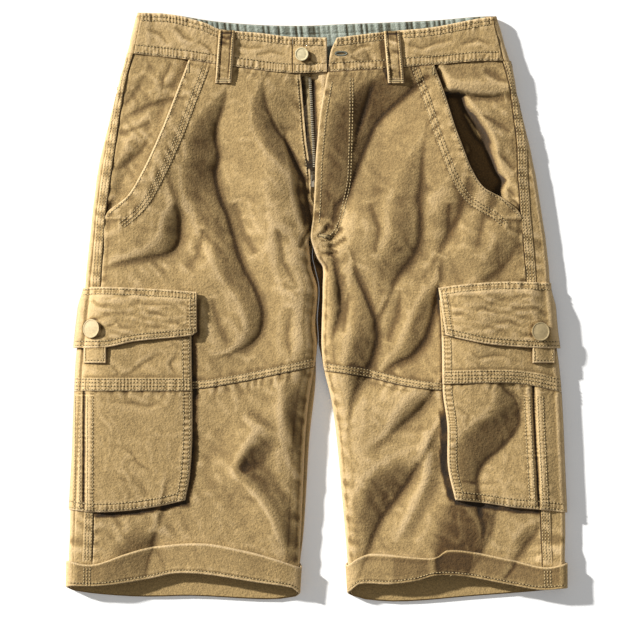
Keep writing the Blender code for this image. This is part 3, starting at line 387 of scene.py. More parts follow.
# The folds are worked out once on an even grid, softened there, and read from it
gridStep, gridEnd = 1.5, (309.0, 351.0)
gridX, gridY = (np.arange(-end, end + 0.1, gridStep) for end in gridEnd)


def softened(values, spread):        # a Gaussian blur, its spread in millimetres
    reach = int(3 * spread / gridStep) + 1
    weights = np.exp(-0.5 * (np.arange(-reach, reach + 1) * gridStep / spread) ** 2)
    weights /= weights.sum()
    for _ in range(2):
        padded = np.pad(values, ((reach, reach), (0, 0)), mode="edge")
        values = sum(weight * padded[k:k + values.shape[0]] for k, weight in enumerate(weights)).T
    return values


wholeX, wholeY = np.meshgrid(gridX, gridY)
foldMap, paintedLeeShade = (sum(maps) for maps in zip(*(faceAt(*fold, wholeX, wholeY) for fold in smoothFolds)))
foldMap = softened(foldMap, form["softFoot"])
ridgeMap = sum(foldAt(rows, *sizes, wholeX, wholeY) for rows, *sizes in smoothRidges)
foldMap += softened(ridgeMap, form["softRidge"])
for rows, reach, deep in crestShades:
    apart, _ = nearLine(smoothed(rows), wholeX, wholeY)
    paintedLeeShade += deep * smooth(0.5 + apart / 1.5) * clamp(1 - apart / reach) ** 0.8
paintedLeeShade = softened(clamp(paintedLeeShade), 0.9)        # painted shade on the lee faces, where the cloth turns from the light


def readMap(values, x, y):           # a map's value between its grid points
    x, y = np.broadcast_arrays(np.asarray(x, float), np.asarray(y, float))
    u = clamp((x - gridX[0]) / gridStep, 0, len(gridX) - 1.001)
    v = clamp((y - gridY[0]) / gridStep, 0, len(gridY) - 1.001)
    i, j = u.astype(int), v.astype(int)
    low = mix(values[j, i], values[j, i + 1], u - i)
    return mix(low, mix(values[j + 1, i], values[j + 1, i + 1], u - i), v - j)


def ground(y):                       # the backs' underside, lifted by the loops and the cuffs below
    return layer * smooth((y - 238) / 14) + cuffLayer * smooth((-266 - y) / 14)


def legsApart(y):
    return smooth((98 - y) / 50)


def frontForm(side, x, y):           # the front's top before its finer creases
    rollTop = ground(y) + 2 * form["roll"]
    outerRoom = np.maximum(0, np.abs(x - along(outer[side], y)) - form["roll"])
    innerRoom = np.abs(x - along(inner[side], y))
    innerLow = ground(y) + form["inseamHeight"]
    low = mix(rollTop, innerLow, legsApart(y) * outerRoom / np.maximum(outerRoom + innerRoom, 1))
    innerRise = mix(1, quarter(innerRoom / form["innerShoulder"]), legsApart(y))
    share = clamp(outerRoom / form["outerShoulder"][side])
    rise = (quarter(share) if side == left else 1 - (1 - share) ** 1.6) * innerRise
    height = mix(low, along(crown, y), rise)
    aboveFly = smooth((76 - np.abs(x)) / 22) * smooth((y - 78) / 16)
    lowest = mix(form["lowest"]["leg"], form["lowest"]["fly"], aboveFly)
    room = clamp((height - lowest) / form["deepestFold"])
    height += readMap(foldMap, x, y) * room * quarter(outerRoom / form["foldShoulder"]) * innerRise
    nearFly = (1 - smooth(innerRoom / form["flyReach"][side])) * (1 - legsApart(y)) * smooth((285 - y) / 60)
    height += form["flyStep"][side] * nearFly
    floor = mix(lowest, innerLow, legsApart(y) * (1 - smooth(innerRoom / 12)))
    return np.maximum(height, floor)


def nearWaist(station):
    return smooth((station - form["mouthLow"]) / (form["waist"] - form["mouthLow"]))


def nearHem(station):
    return smooth((form["hem"] + 105 - station) / 105)


def rowY(side, x, station):          # rows follow the waist, the knee seam and the hem near them
    waist = (along(waistSeam[side], x) - form["waist"]) * nearWaist(station)
    knee = (along(kneeSeam[side], x) - form["knee"]) * smooth(1 - np.abs(station - form["knee"]) / 150)
    hem = (along(hemFront[side], x) + 1.5 - form["hem"]) * nearHem(station)
    return station + waist + knee + hem


def edgeX(side, station, edge):      # where a row meets an edge
    return settle(along(edge, station), lambda x: along(edge, rowY(side, x, station)))


# Materials

def newLook(name):                   # a material, its shader, and two ways to build on it
    made = bpy.data.materials.new(name)
    made.use_nodes = True
    tree = made.node_tree

    def join(node, inputs):          # an input takes a number, a colour or another node's output
        for key, value in inputs.items():
            if isinstance(value, bpy.types.NodeSocket):
                tree.links.new(value, node.inputs[key])
            else:
                node.inputs[key].default_value = value
        return node

    def add(kind, inputs, **settings):
        node = tree.nodes.new("ShaderNode" + kind)
        for key, value in settings.items():
            setattr(node, key, value)
        return join(node, inputs)

    return made, tree.nodes["Principled BSDF"], add, join


def canvas(name, tone, light=1.0, dark=0.95, threads=0.55, seed=0.0):
    made, shader, add, join = newLook(name)

    def calc(kind, a, b=0.0, *c):
        return add("Math", dict(enumerate((a, b, *c))), operation=kind).outputs[0]

    place = add("TexCoord", {}).outputs["Object"]
    moved = add("Mapping", {"Vector": place, "Location": (seed, 2 * seed, 3 * seed)}).outputs[0]

    def noise(size, detail):
        return add("TexNoise", {"Vector": moved, "Scale": 1000 / size, "Detail": detail,
                                "Roughness": 0.6}).outputs["Fac"]

    broad, mottled, fine, dust = noise(70, 3), noise(9, 3), noise(2.9, 2), noise(1.5, 2)
    wearAndShade = add("Attribute", {}, attribute_name="wearAndShadeTone").outputs["Fac"]

    # the weave: warp and weft threads from the piece's own flat coordinates
    flat = add("SeparateXYZ", {0: add("UVMap", {}).outputs[0]}).outputs
    turns = 2 * math.pi / (threads * mm)
    warp, weft = (calc("SINE", calc("MULTIPLY", flat[k], turns)) for k in (0, 1))
    weave = calc("MULTIPLY", calc("ADD", warp, weft), 0.5)

    # brightness: 1 on even cloth, more on worn crests, less where shade is painted
    value = 1.0
    for uneven, share in ((broad, 0.25), (mottled, 0.2), (fine, 0.576), (dust, 1.36)):
        value = calc("MULTIPLY_ADD", calc("SUBTRACT", uneven, 0.5), share, value)
    value = calc("MULTIPLY_ADD", weave, 0.03, value)
    crest, crease = calc("MAXIMUM", wearAndShade, 0.0), calc("MAXIMUM", calc("MULTIPLY", wearAndShade, -1.0), 0.0)
    patchy = calc("MULTIPLY", crest, calc("MULTIPLY_ADD", mottled, 1.2, 0.4))
    deepest = calc("MAXIMUM", calc("SUBTRACT", crease, 1.0), 0.0)
    value = calc("MULTIPLY", value, calc("MULTIPLY_ADD", deepest, -1.0, 1.0))
    value = calc("MULTIPLY_ADD", patchy, light, value)

    # where shade is painted the tone turns deeper and warmer, down to near black at the darkest; worn crests
    # are paler, not only brighter
    tinted = add("VectorMath", {0: tone, "Scale": value}, operation="SCALE").outputs[0]
    paintedShade = add("VectorMath", {0: tinted, 1: (0.27, 0.21, 0.135)}, operation="MULTIPLY").outputs[0]
    sunk = add("Mix", {"Factor": calc("MULTIPLY", crease, dark), "A": tinted, "B": paintedShade}, data_type="RGBA")
    pale = [mix(channel, 1.25 * sum(tone) / 3, 0.45) * 1.3 for channel in tone]
    faded = add("Mix", {"Factor": calc("MULTIPLY", patchy, 0.55), "A": sunk.outputs["Result"],
                        "B": (*pale, 1)}, data_type="RGBA")

    height = calc("MULTIPLY", weave, 0.035)
    for uneven, share in ((fine, 0.85), (dust, 0.3), (mottled, 0.25)):
        height = calc("MULTIPLY_ADD", uneven, share, height)
    bump = add("Bump", {"Strength": 1.0, "Distance": mm, "Height": height}).outputs[0]
    join(shader, {"Roughness": 0.92, "Specular IOR Level": 0.25, "Sheen Weight": 0.12, "Sheen Roughness": 0.6,
                  "Base Color": faded.outputs["Result"], "Normal": bump})
    return made


def plainMaterial(name, tone, rough, metal=0.0, grain=6.0, bumpy=0.1, paintedPitShade=None):
    made, shader, add, join = newLook(name)
    place = add("TexCoord", {}).outputs["Object"]
    spots = add("TexNoise", {"Vector": place, "Scale": 1000 / grain, "Detail": 5}).outputs["Fac"]
    ramp = add("ValToRGB", {"Fac": spots})
    for element, at, share in zip(ramp.color_ramp.elements, (0.25, 0.75), (0.78, 1.16)):
        element.position = at
        element.color = (*[min(1, share * channel) for channel in tone], 1)
    colour = ramp.outputs["Color"]
    if paintedPitShade:                         # painted shade where the thread goes into the cloth
        wearAndShade = add("Attribute", {}, attribute_name="wearAndShadeTone").outputs["Fac"]
        both = add("Mix", {"Factor": wearAndShade, "A": (*paintedPitShade, 1), "B": colour}, data_type="RGBA")
        colour = both.outputs["Result"]
    bump = add("Bump", {"Strength": bumpy, "Distance": mm, "Height": spots}).outputs[0]
    join(shader, {"Roughness": rough, "Metallic": metal, "Base Color": colour, "Normal": bump})
    return made


tones = {
    "cloth": (0.385, 0.262, 0.108),
    "lining": (0.235, 0.27, 0.225),
    "tape": (0.34, 0.255, 0.12),
    "thread": (0.50, 0.375, 0.18),
    "edging": (0.21, 0.215, 0.165),
    "cream": (0.70, 0.60, 0.36),
    "tan": (0.50, 0.385, 0.20),
    "metal": (0.42, 0.37, 0.29),
    "bronze": (0.13, 0.10, 0.06),
    "teeth": (0.62, 0.56, 0.42),
}
clothLook = canvas("washed_canvas", tones["cloth"])
liningLook = canvas("lining_cloth", tones["lining"], light=0.8, dark=0.8, threads=0.8, seed=0.3)
tapeLook = canvas("zip_tape_cloth", tones["tape"], threads=0.7, seed=0.6)
threadLook = plainMaterial("sewing_thread", tones["thread"], 0.8, grain=3, paintedPitShade=(0.03, 0.018, 0.007))
creamLook = plainMaterial("cream_button", tones["cream"], 0.45, grain=2.5, bumpy=0.05)
tanLook = plainMaterial("tan_button", tones["tan"], 0.6, grain=2.5, bumpy=0.08)
edgingLook = plainMaterial("buttonhole_thread", tones["edging"], 0.8, grain=3, paintedPitShade=(0.02, 0.015, 0.007))
metalLook = plainMaterial("dull_metal", tones["metal"], 0.45, metal=0.5, grain=2)
bronzeLook = plainMaterial("dark_bronze", tones["bronze"], 0.5, metal=0.5, grain=2)
teethLook = plainMaterial("brass_teeth", tones["teeth"], 0.4, metal=0.35, grain=2)
print("materials ready")


# Meshes from grids of points in millimetres

built = {}


def offsets(*runs):                  # places from 0, in stretches of (end, step)
    places, at = [0.0], 0.0
    for end, step in runs:
        count = max(1, round((end - at) / step))
        places += [mix(at, end, (k + 1) / count) for k in range(count)]
        at = end
    return np.array(places)


def graded(length, fine=0.7, coarse=1.9, reach=5.0):    # shares of a length, closer at its ends
    places = offsets((reach, fine), (length - reach, coarse), (length, fine))
    return places / length


def blurred(values):
    for _ in range(3):
        padded = np.pad(values, 1, mode="edge")
        values = sum(padded[i:i + values.shape[0], j:j + values.shape[1]]
                     for i in range(3) for j in range(3)) / 9
    return values


# A closed wall under a grid of outer points; ways are the unit ways from its outside to its inside
def shell(name, outside, thick, ways=None, ring=False, look=None, wearAndShadeTone=0.0):
    rows, cols = outside.shape[:2]
    if ways is None:
        ways = np.zeros_like(outside)
        ways[..., 2] = -1
    inside = outside + ways * thick
    grid = np.arange(rows * cols).reshape(rows, cols)
    if ring:
        grid = np.column_stack([grid, grid[:, 0]])
    count = rows * cols

    def quads(a, b, c, d):
        return np.stack([a, b, c, d], axis=-1).reshape(-1, 4)

    faces = [quads(grid[:-1, :-1], grid[1:, :-1], grid[1:, 1:], grid[:-1, 1:])]
    faces.append(faces[0][:, ::-1] + count)
    for edge, turn in ((grid[0], 1), (grid[-1], -1)):
        faces.append(quads(edge[:-1], edge[1:], edge[1:] + count, edge[:-1] + count)[:, ::turn])
    if not ring:
        for edge, turn in ((grid[:, 0], -1), (grid[:, -1], 1)):
            faces.append(quads(edge[:-1], edge[1:], edge[1:] + count, edge[:-1] + count)[:, ::turn])
    faces = np.concatenate(faces)
    points = np.concatenate([outside.reshape(-1, 3), inside.reshape(-1, 3)])

    corner = points[faces]
    solid = np.einsum("ij,ij->i", corner[:, 0], np.cross(corner[:, 1], corner[:, 2])).sum()
    solid += np.einsum("ij,ij->i", corner[:, 0], np.cross(corner[:, 2], corner[:, 3])).sum()
    if solid < 0:                    # faces point out of the cloth on both sides of the garment
        faces = faces[:, ::-1]

    mesh = bpy.data.meshes.new(name)
    mesh.from_pydata((points * mm).tolist(), [], faces.tolist())
    across = np.linalg.norm(np.diff(outside, axis=1), axis=2)
    down = np.linalg.norm(np.diff(outside, axis=0), axis=2)
    u = np.concatenate([np.zeros((rows, 1)), np.cumsum(across, axis=1)], axis=1)
    v = np.concatenate([np.zeros((1, cols)), np.cumsum(down, axis=0)], axis=0)
    flat = np.stack([u - u[:, -1:] / 2, v], axis=-1)
    flat = np.concatenate([flat.reshape(-1, 2)] * 2) * mm
    corners = np.empty(len(mesh.loops), np.int32)
    mesh.loops.foreach_get("vertex_index", corners)
    mesh.uv_layers.new(name="flat").data.foreach_set("uv", flat[corners].ravel())
    around = np.stack([blurred(outside[..., k]) for k in range(3)], axis=-1)
    # paler on convex crests as wear, darker in hollows as painted shade
    crest = clamp(np.sum((around - outside) * ways, axis=2) / 0.16, -1, 1) * 0.6
    wearAndShade = clamp(crest + wearAndShadeTone, -1.8, 1)
    both = np.concatenate([wearAndShade.reshape(-1), np.zeros(count)])
    mesh.attributes.new("wearAndShadeTone", "FLOAT", "POINT").data.foreach_set("value", both)
    made = bpy.data.objects.new(name, mesh)
    bpy.context.scene.collection.objects.link(made)
    mesh.shade_smooth()
    mesh.set_sharp_from_angle(angle=math.radians(55))
    made.data.materials.append(look or clothLook)
    built[name] = made
    return made


def between(edges, top, bottom, shares, levels):     # a grid whose sides are x(y) and ends y(x)
    levels = np.asarray(levels)
    ends = []
    for edge in edges:
        x = settle(edge(0) + 0 * levels, lambda x: edge(mix(top(x), bottom(x), levels)))
        ends.append(x[:, None])
    x = mix(ends[0], ends[1], np.asarray(shares)[None, :])
    return x, mix(top(x), bottom(x), levels[:, None])


def constant(value):                 # an edge that stays at one place
    return lambda at: value + 0 * at


def curve(table, shift=0.0):         # an edge along a table
    return lambda at: along(table, at) + shift


def points3(x, y, z):
    return np.stack(np.broadcast_arrays(x, y, z), axis=-1)


def declare(piece, nodes):
    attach(piece, "garment")
    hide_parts(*nodes)


# The fine relief: creases, rumples and puckered seams, laid over the fold forms

# smaller creases: a line, how deep it is, and how far it reaches on each side
creases = (
    (((-200, 290), (-196, 255), (-205, 225)), 1.6, 12, 16),
    (((-150, 270), (-158, 240), (-166, 215)), 1.2, 10, 12),
    (((-130, 90), (-136, 60), (-150, 44)), 1.6, 12, 14),
    (((-95, 120), (-84, 85), (-70, 60)), 2.0, 14, 16),
    (((-45, 90), (-38, 50), (-22, 20)), 1.8, 16, 14),
    (((-120, 10), (-112, -20), (-100, -50)), 1.6, 14, 16),
    (((-30, 0), (-34, -30), (-30, -60)), 1.4, 12, 12),
    (((150, 120), (150, 85), (140, 60)), 1.8, 12, 18),
    (((205, 130), (190, 100), (180, 60)), 1.6, 14, 18),
    (((60, 120), (70, 90), (66, 60)), 1.8, 14, 14),
    (((30, 40), (36, 10), (30, -30)), 1.8, 12, 14),
    (((95, 20), (92, -10), (80, -40)), 1.6, 12, 12),
    (((20, 45), (24, 25), (28, 0)), 1.6, 8, 10),
    (((14, 96), (8, 86), (0, 80)), 2.4, 3, 6),
    (((30, 92), (18, 80), (4, 75)), 2.6, 3, 7),
    (((34, 80), (20, 71), (6, 69)), 2.2, 3, 6),
    (((24, 64), (14, 61), (4, 62)), 1.8, 3, 5),
    (((28, 112), (24, 100), (24, 86)), 2.0, 3, 6),
    (((-6, 92), (-16, 78), (-20, 66)), 1.8, 4, 8),
)


def rumples(x, y, seed, strength=1.0):         # small uneven crumpling
    bentX = x + 7 * softNoise(x, y, 24, seed + 2)
    bentY = y + 7 * softNoise(x, y, 24, seed + 3)
    soft = 1.0 * softNoise(x, y, 40, seed) + 0.35 * softNoise(bentX, bentY, 19, seed + 5)
    sharp = 1 - np.abs(softNoise(bentX, 0.6 * bentY, 15, seed + 7)) ** 0.8
    drawn = softNoise(0.8 * bentX + 0.6 * bentY, 0.4 * (0.8 * bentY - 0.6 * bentX), 9, seed + 9)
    fine = 0.2 * softNoise(bentX, bentY, 9.5, seed + 11) + 0.12 * softNoise(bentX, bentY, 5.5, seed + 13)
    return strength * (soft + 0.3 * sharp + 0.3 * drawn + fine)


def pucker(line, x, y, size, reach, pitch, seed, lean=0.25):         # little waves drawn up by a seam
    apart, place = nearLine(line, x, y)
    far = np.abs(apart)
    waves = wave(place + lean * apart, pitch, seed) + 0.6 * wave(place - 0.4 * apart, 0.55 * pitch, seed + 1)
    return size * waves * bell(far, reach)


def raised(distance, width, height, edge=0.9):      # a band beside a seam, with rounded sides
    return height * smooth(distance / edge) * smooth((width - distance) / edge)


def groove(distance, depth=0.3, half=0.8):
    return -depth * bell(distance, half)


def grooves(distance, *places):      # along rows of stitches
    return sum(groove(distance - place) for place in places)


def turned(distance, depth=0.8, reach=1.3):         # a finished edge rounds down
    return -depth * (1 - quarter(distance / reach))


def lineOf(table, step=4.0, low=None, high=None, upright=False):
    places = [row[0] for row in table]
    low, high = low if low is not None else min(places), high if high is not None else max(places)
    count = max(2, int((high - low) / step))
    at = np.linspace(low, high, count + 1)
    values = along(table, at)
    return list(zip(values, at)) if upright else list(zip(at, values))


flyStitch = ((38, 262), (37.6, 219), (35.5, 150), (34, 138), (30, 120), (24, 96), (16, 83), (4, 77))


def onPocket(side, x, y):            # 1 well inside the pocket's outline, 0 outside it
    inside = np.minimum(side * (x - along(pocketInner[side], y)), y - along(pocketBottom[side], x))
    inside = np.minimum(inside, along(flapTop[side], x) - y)
    return smooth((inside - 2) / 8)


def paintedShadeBeside(side, x, y):            # painted shade beside and under a pocket, a flap or a loop
    gap = side * (along(pocketInner[side], y) - x)
    below = along(pocketBottom[side], x) - y
    across = smooth((along(flapTop[side], x) + 1 - y) / 3) * smooth((3 - below) / 2)
    shade = 1.5 * bell(gap, 2.0) * across
    shade += 1.7 * smooth((6.6 - below) / 2) * smooth((2 - gap) / 3) * (below > -4)
    if side == right:                # painted shade where it stands off the leg
        shade += 1.8 * smooth((9 - gap) / 2) * smooth((-112 - y) / 16) * smooth((y + 226) / 8) * (gap > -3)
        hang = smooth((x - 128) / 16) * smooth((200 + 0.22 * (y + 232) - x) / 3)      # painted shade below its free corner
        shade += 0.6 * hang * smooth((-222 - y) / 6)
    else:                            # its painted cast shade, wider beside the flap
        wide = mix(7.5, 10.5, smooth((y + 40) / 10))
        shade += 1.1 * smooth((wide - gap) / 2) * smooth((14 - y) / 8) * smooth((y + 232) / 6) * (gap > -3)
    return clamp(shade + loopShade(x, y), 0, 1.8)


buttonsAt = {left: (-256.0, -24.7), right: (254.3, -28.1)}         # on the flaps


def buttonShade(x, y):               # a thin dark line round each flap's button
    return sum(bell(np.hypot(x - atX, y - atY) - 11.2, 1.1) for atX, atY in buttonsAt.values())


def loopShade(x, y):
    shade = 0
    for side, topX, bottomX, bottomY in frontLoops:
        middle = mix(bottomX, topX, (y - bottomY) / 56)
        beyond = middle - loopWidth / 2 - x
        wide = {left: 2.2, right: 6.5}[side] * smooth((y - bottomY + 6) / 30) + 0.8
        shade += smooth((wide - beyond) / 2.5) * (beyond > -4) * smooth((y - bottomY + 3) / 4)
    return clamp(shade)


def frontRelief(side, x, y):
    knee = y - along(kneeSeam[side], x)
    inside = np.abs(x - along(outer[side], y))
    calm = smooth((inside - 4) / 18) * (1 - onPocket(side, x, y))
    calm = calm * smooth((y - along(cuffTop[side], x) + 4) / 12)
    value = rumples(x, y, 11 if side == left else 31, 0.5) * calm
    value += sum(foldAt(*crease, x, y, 1.3) for crease in creases) * calm
    # the knee seam's raised band and its puckers
    line = lineOf(kneeSeam[side], 6)
    value += raised(knee, 9.5, 0.9) + grooves(knee, *seamRows["knee"])
    value += pucker(line, x, y, 0.8, 10, 7, 41 + side)
    # the waist seam
    line = lineOf(waistSeam[side], 6)
    value += pucker(line, x, y, 0.7, 10, 8, 47 + side)
    # the inseam and the crotch
    fly = np.abs(x - along(inner[side], y))
    value += 0.7 * wave(y + 0.3 * x, 8, 51 + side) * bell(fly, 9) * calm
    return value


def mouthRelief(side, x, y):
    line = lineOf(mouth[side], 4, form["mouthLow"], 284, True)
    apart, place = nearLine(line, x, y)
    far = np.abs(apart)
    value = pucker(line, x, y, 0.6, 7, 8, 61 + side)
    nearRow, *otherRows = seamRows["mouth"]
    ridge = raised(far, 26, 0.6, 1.5) + grooves(far, *otherRows) + groove(far - nearRow, 0.2)
    bumps = 0.75 * wave(place + 0.6 * far, 5.5, 66 + side) * bell(far - 21, 6)
    lifted = {left: 0.8, right: 2.6}[side] * bell(far, 17) * np.sin(math.pi * clamp((y - 98) / 192))
    return value + ridge * (y > 100) + bumps + lifted


def seamRelief(side, x, y):          # beside the side seam
    near = np.abs(x - along(seam[side], y))
    bare = smooth((y - along(cuffTop[side], x)) / 8)
    return 0.7 * wave(y - 0.3 * x, 7, 71 + side) * bell(near, 8) * bare


def frontHeight(side, x, y):
    return frontForm(side, x, y) + frontRelief(side, x, y)


def panel(side, stations, outerEdge, fromOuter, fromInner, middle):      # a front's grid, closer at its sides
    outerX = edgeX(side, stations, outerEdge) - side * gapHalf
    innerX = edgeX(side, stations, inner[side])
    first = outerX[:, None] - side * fromOuter[None, :]
    last = innerX[:, None] + side * fromInner[::-1][None, :]
    shares = np.linspace(0, 1, middle + 2)[1:-1]
    x = np.concatenate([first, mix(first[:, -1:], last[:, :1], shares[None, :]), last], axis=1)
    return x, rowY(side, x, stations[:, None])


def runStations(high, low, fine, coarse, reach):
    return high - offsets((reach, fine), (high - low - reach, coarse), (high - low, fine))


upperFront = {"flat": (0.26, 0.42), "area": 0.092, "middle": 86, "flyTurn": {left: 0.25, right: 0.8},
              "paintedLeeShadeStrength": {left: 0.85, right: 0.72}, "paintedShade": {left: 0.08, right: 0.26}}
lowerFront = {"flat": (0.27, 0.25), "area": 0.062, "middle": 92, "paintedLeeShadeStrength": 0.8}
frontRows = (0.8, 2.35, 5)           # how close rows lie at the ends and between, and how far the ends reach

for side, name in sideName.items():
    stations = runStations(form["waist"], form["knee"], *frontRows)
    mouthPart = [row for row in mouth[side] if row[0] > form["mouthLow"]]
    edge = mouthPart + [row for row in seam[side] if row[0] <= form["mouthLow"]]
    x, y = panel(side, stations, edge, offsets((5, 0.7), (18, 1.8), (26, 0.8), (30, 1.4)),
                 offsets((5, 0.8), (14, 1.5)), upperFront["middle"])
    y[0] -= gapHalf
    y[-1] += gapHalf
    z = frontHeight(side, x, y) + mouthRelief(side, x, y)
    z += seamRelief(side, x, y) * (y < form["mouthLow"])
    fromSide = np.abs(x - x[:, :1])
    fromFly = np.abs(x - x[:, -1:])
    z += turned(fromSide) + turned(fromFly, upperFront["flyTurn"][side])
    z += turned(np.abs(y - y[:1]), 0.5) + turned(y - y[-1:], 0.4)
    if side == left:                 # a pressed line beside the opening
        z += groove(fromFly - 2.6, 0.5, 0.9) * (y > 130)
    wearAndShade = bell(fromSide, 1.5) * (y > 104) + bell(fromFly, 1.5)
    # painted shade on the lee faces, under the waistband, beside the pockets and flaps, and over the whole
    # piece
    wearAndShade = wearAndShade - upperFront["paintedLeeShadeStrength"][side] * readMap(paintedLeeShade, x, y) - 0.8 * bell(y - y[:1], 1.3)
    wearAndShade = wearAndShade - paintedShadeBeside(side, x, y) + 0.6 * bell(y - y[-1:], 1.2) - upperFront["paintedShade"][side]
    piece = shell("upper_front_" + name, points3(x, y, z), cloth["thick"], wearAndShadeTone=wearAndShade)
    declare(piece, ["front_upper_" + name])

    stations = runStations(form["knee"], form["hem"], *frontRows)
    x, y = panel(side, stations, seam[side], offsets((5, 0.7), (14, 1.6)), offsets((5, 0.8), (14, 1.6)),
                 lowerFront["middle"])
    y[0] -= gapHalf
    y[-1] += gapHalf
    z = frontHeight(side, x, y) + seamRelief(side, x, y)
    fromSide = np.abs(x - x[:, :1])
    fromInseam = np.abs(x - x[:, -1:])
    z += turned(fromSide) + turned(fromInseam) + turned(np.abs(y - y[:1]), 0.6)
    # painted shade on the lee faces, beside the pockets and flaps, and below the knee seam
    wearAndShade = 0.6 * bell(fromInseam, 1.4) - lowerFront["paintedLeeShadeStrength"] * readMap(paintedLeeShade, x, y) - paintedShadeBeside(side, x, y)
    wearAndShade -= 0.9 * bell(y - y[:1], 1.5)
    piece = shell("lower_front_" + name, points3(x, y, z), cloth["thick"], wearAndShadeTone=wearAndShade)
    declare(piece, ["front_lower_" + name])
print("fronts ready")


# The hip pieces seen inside the slant pockets

hollowEdge = {          # y and x where the pocket's mouth starts to hang open
    left: ((290, -150), (250, -166), (220, -182), (190, -196), (160, -210), (130, -224), (110, -238)),
    right: ((250, 158), (243, 164), (230, 171), (218, 181), (205, 190), (190, 197), (170, 201), (155, 206),
            (145, 212), (132, 209), (118, 214), (106, 226)),
}

hip = {"flat": (0.11, 0.20), "area": {left: 0.0125, right: 0.0145}, "under": 12, "low": 98.0,
       "hollow": {left: 0.5, right: 12.5}, "drop": {left: 1.4, right: 2}, "steps": {left: 16, right: 9},
       "paintedShade": {left: 0.12, right: 0.2}, "paintedMouthShade": {left: 0.3, right: 0.9}}
hipCreases = (
    (((-152, 262), (-170, 252), (-190, 244)), 0.7, 8, 12),
    (((-166, 280), (-176, 262), (-178, 240)), 1.3, 8, 10),
    (((-190, 212), (-206, 204), (-226, 198)), 1.4, 7, 10),
    (((178, 224), (200, 214), (222, 200)), 2.2, 9, 16),
    (((146, 249), (160, 245), (180, 241), (204, 240), (214, 243)), 4.5, 20, 5),
    (((206, 176), (216, 168), (226, 156)), 1.5, 6, 10),
    (((212, 138), (222, 132), (230, 122)), 1.3, 5, 8),
    (((190, 272), (206, 262), (222, 256)), 1.4, 6, 10),
)
for side, name in sideName.items():
    stations = np.append(runStations(form["waist"], form["mouthLow"], 0.9, 2.0, 5), hip["low"])
    outerX = edgeX(side, stations, seam[side]) - side * gapHalf
    innerX = edgeX(side, stations, mouth[side]) - side * hip["under"]
    shares = graded(90, 0.9, 2.0, 5)
    x = mix(outerX[:, None], innerX[:, None], shares[None, :])
    y = rowY(side, x, stations[:, None]) - gapHalf
    hollow = smooth(((along(hollowEdge[side], y) - x) * side + 8) / 14)
    if side == left:
        hollow = hip["hollow"][side] * hollow * smooth((y - 104) / 30) * smooth((244 - y) / 70)
    else:                            # under a fold that hangs over it at the top
        hollow = hip["hollow"][side] * hollow * smooth((y - 112) / 22) * smooth((248 - y) / 5)
    tucked = clamp((form["mouthLow"] + 18 - y) / 12)
    bare = (x - along(mouth[side], y)) * side                   # how far it shows beyond the front
    spread = mix(3 * shares[None, :], 1 - bare / hip["steps"][side], smooth((y - 130) / 150))
    drop = hip["drop"][side] * layer * smooth(spread + tucked)
    z = frontForm(side, x, y) - cloth["gap"] - drop - hollow
    if side == right:
        z += 1.6 * bell(y - 255, 9) * smooth(bare / 12)
    free = smooth(bare / 8)
    z += rumples(x, y, 91 + side, 0.8) * mix(0.3, 1, free) * smooth(np.abs(x - outerX[:, None]) / 14)
    z += 0.5 * wave(y - 0.2 * x, 9, 95 + side) * bell(x - outerX[:, None], 9)
    z -= 0.6
    z += turned(np.abs(x - x[:, :1]))
    z += sum(foldAt(*crease, x, y, 1.3) for crease in hipCreases) * free
    z = np.maximum(z, 2 * layer + cloth["gap"])
    # painted shade in the right hip's hollow, on the lee faces, under the waistband, at the side seam, beside
    # the mouth and over the whole piece
    wearAndShade = -0.78 * clamp(hollow / 4) * (side == right) - hip["paintedShade"][side]
    wearAndShade -= 0.4 * readMap(paintedLeeShade, x, y)
    wearAndShade = wearAndShade - 0.7 * bell(y - y[:1], 1.3) - 0.7 * bell(x - x[:, :1], 1.4)
    wearAndShade -= hip["paintedMouthShade"][side] * bell(bare, 2.4)
    piece = shell("hip_piece_" + name, points3(x, y, z), cloth["thick"], wearAndShadeTone=wearAndShade)
    declare(piece, ["hip_" + name])
print("hips ready")


# The backs: along the ground, round the fold and up to the side seam

back = {"flat": (0.35, 0.64), "area": 0.176, "strip": 24, "slotShare": {left: 0.3, right: 0.7},
        "paintedSlotShade": 1.9}


def bulgeAt(side, y):                # how far a back shows beyond its front's inseam
    slot = np.maximum(along(inner[right], y) - along(inner[left], y) - 0.4, 0)
    bulge = back["slotShare"][side] * slot * smooth((y + 74) / 26)
    return bulge + (along(inseamBulge, y) if side == left else 0)


def backInner(side, y):
    edge = along(inner[side], y) - side * bulgeAt(side, y)
    return mix(side * gapHalf, edge, legsApart(y))


# round the inseam: how far in when flat, how far in and how high when rolled, and the back's share
innerTurns = ((0, 3, 5.6, 0), (2.4, 0.8, 5.4, 0.2), (5, 0, 3, 0.5), (8, 2.5, 0, 1))


def backY(side, x, station):
    waist = (along(backBandBottom, x) - form["waist"]) * nearWaist(station)
    hem = (along(hemBack[side], x) + 1.5 - form["hem"]) * nearHem(station)
    return station + waist + hem


# A section runs counter-clockwise in (u, z), where u is x with the garment's outer side at +
def outward(u, z):                   # unit ways out of a section
    stepU, stepZ = np.gradient(u, axis=1), np.gradient(z, axis=1)
    size = np.maximum(np.hypot(stepU, stepZ), 1e-6)
    return stepZ / size, -stepU / size


def sideFold(side, outX, low, angles):       # its place, and 1 at the back to 0 at the front
    turn = np.radians(angles)[None, :]
    u = (side * outX)[:, None] - form["roll"] + form["roll"] * np.cos(turn)
    z = low[:, None] + form["roll"] + form["roll"] * np.sin(turn)
    return u, z, np.broadcast_to(0.5 - 0.5 * np.sin(turn), u.shape)


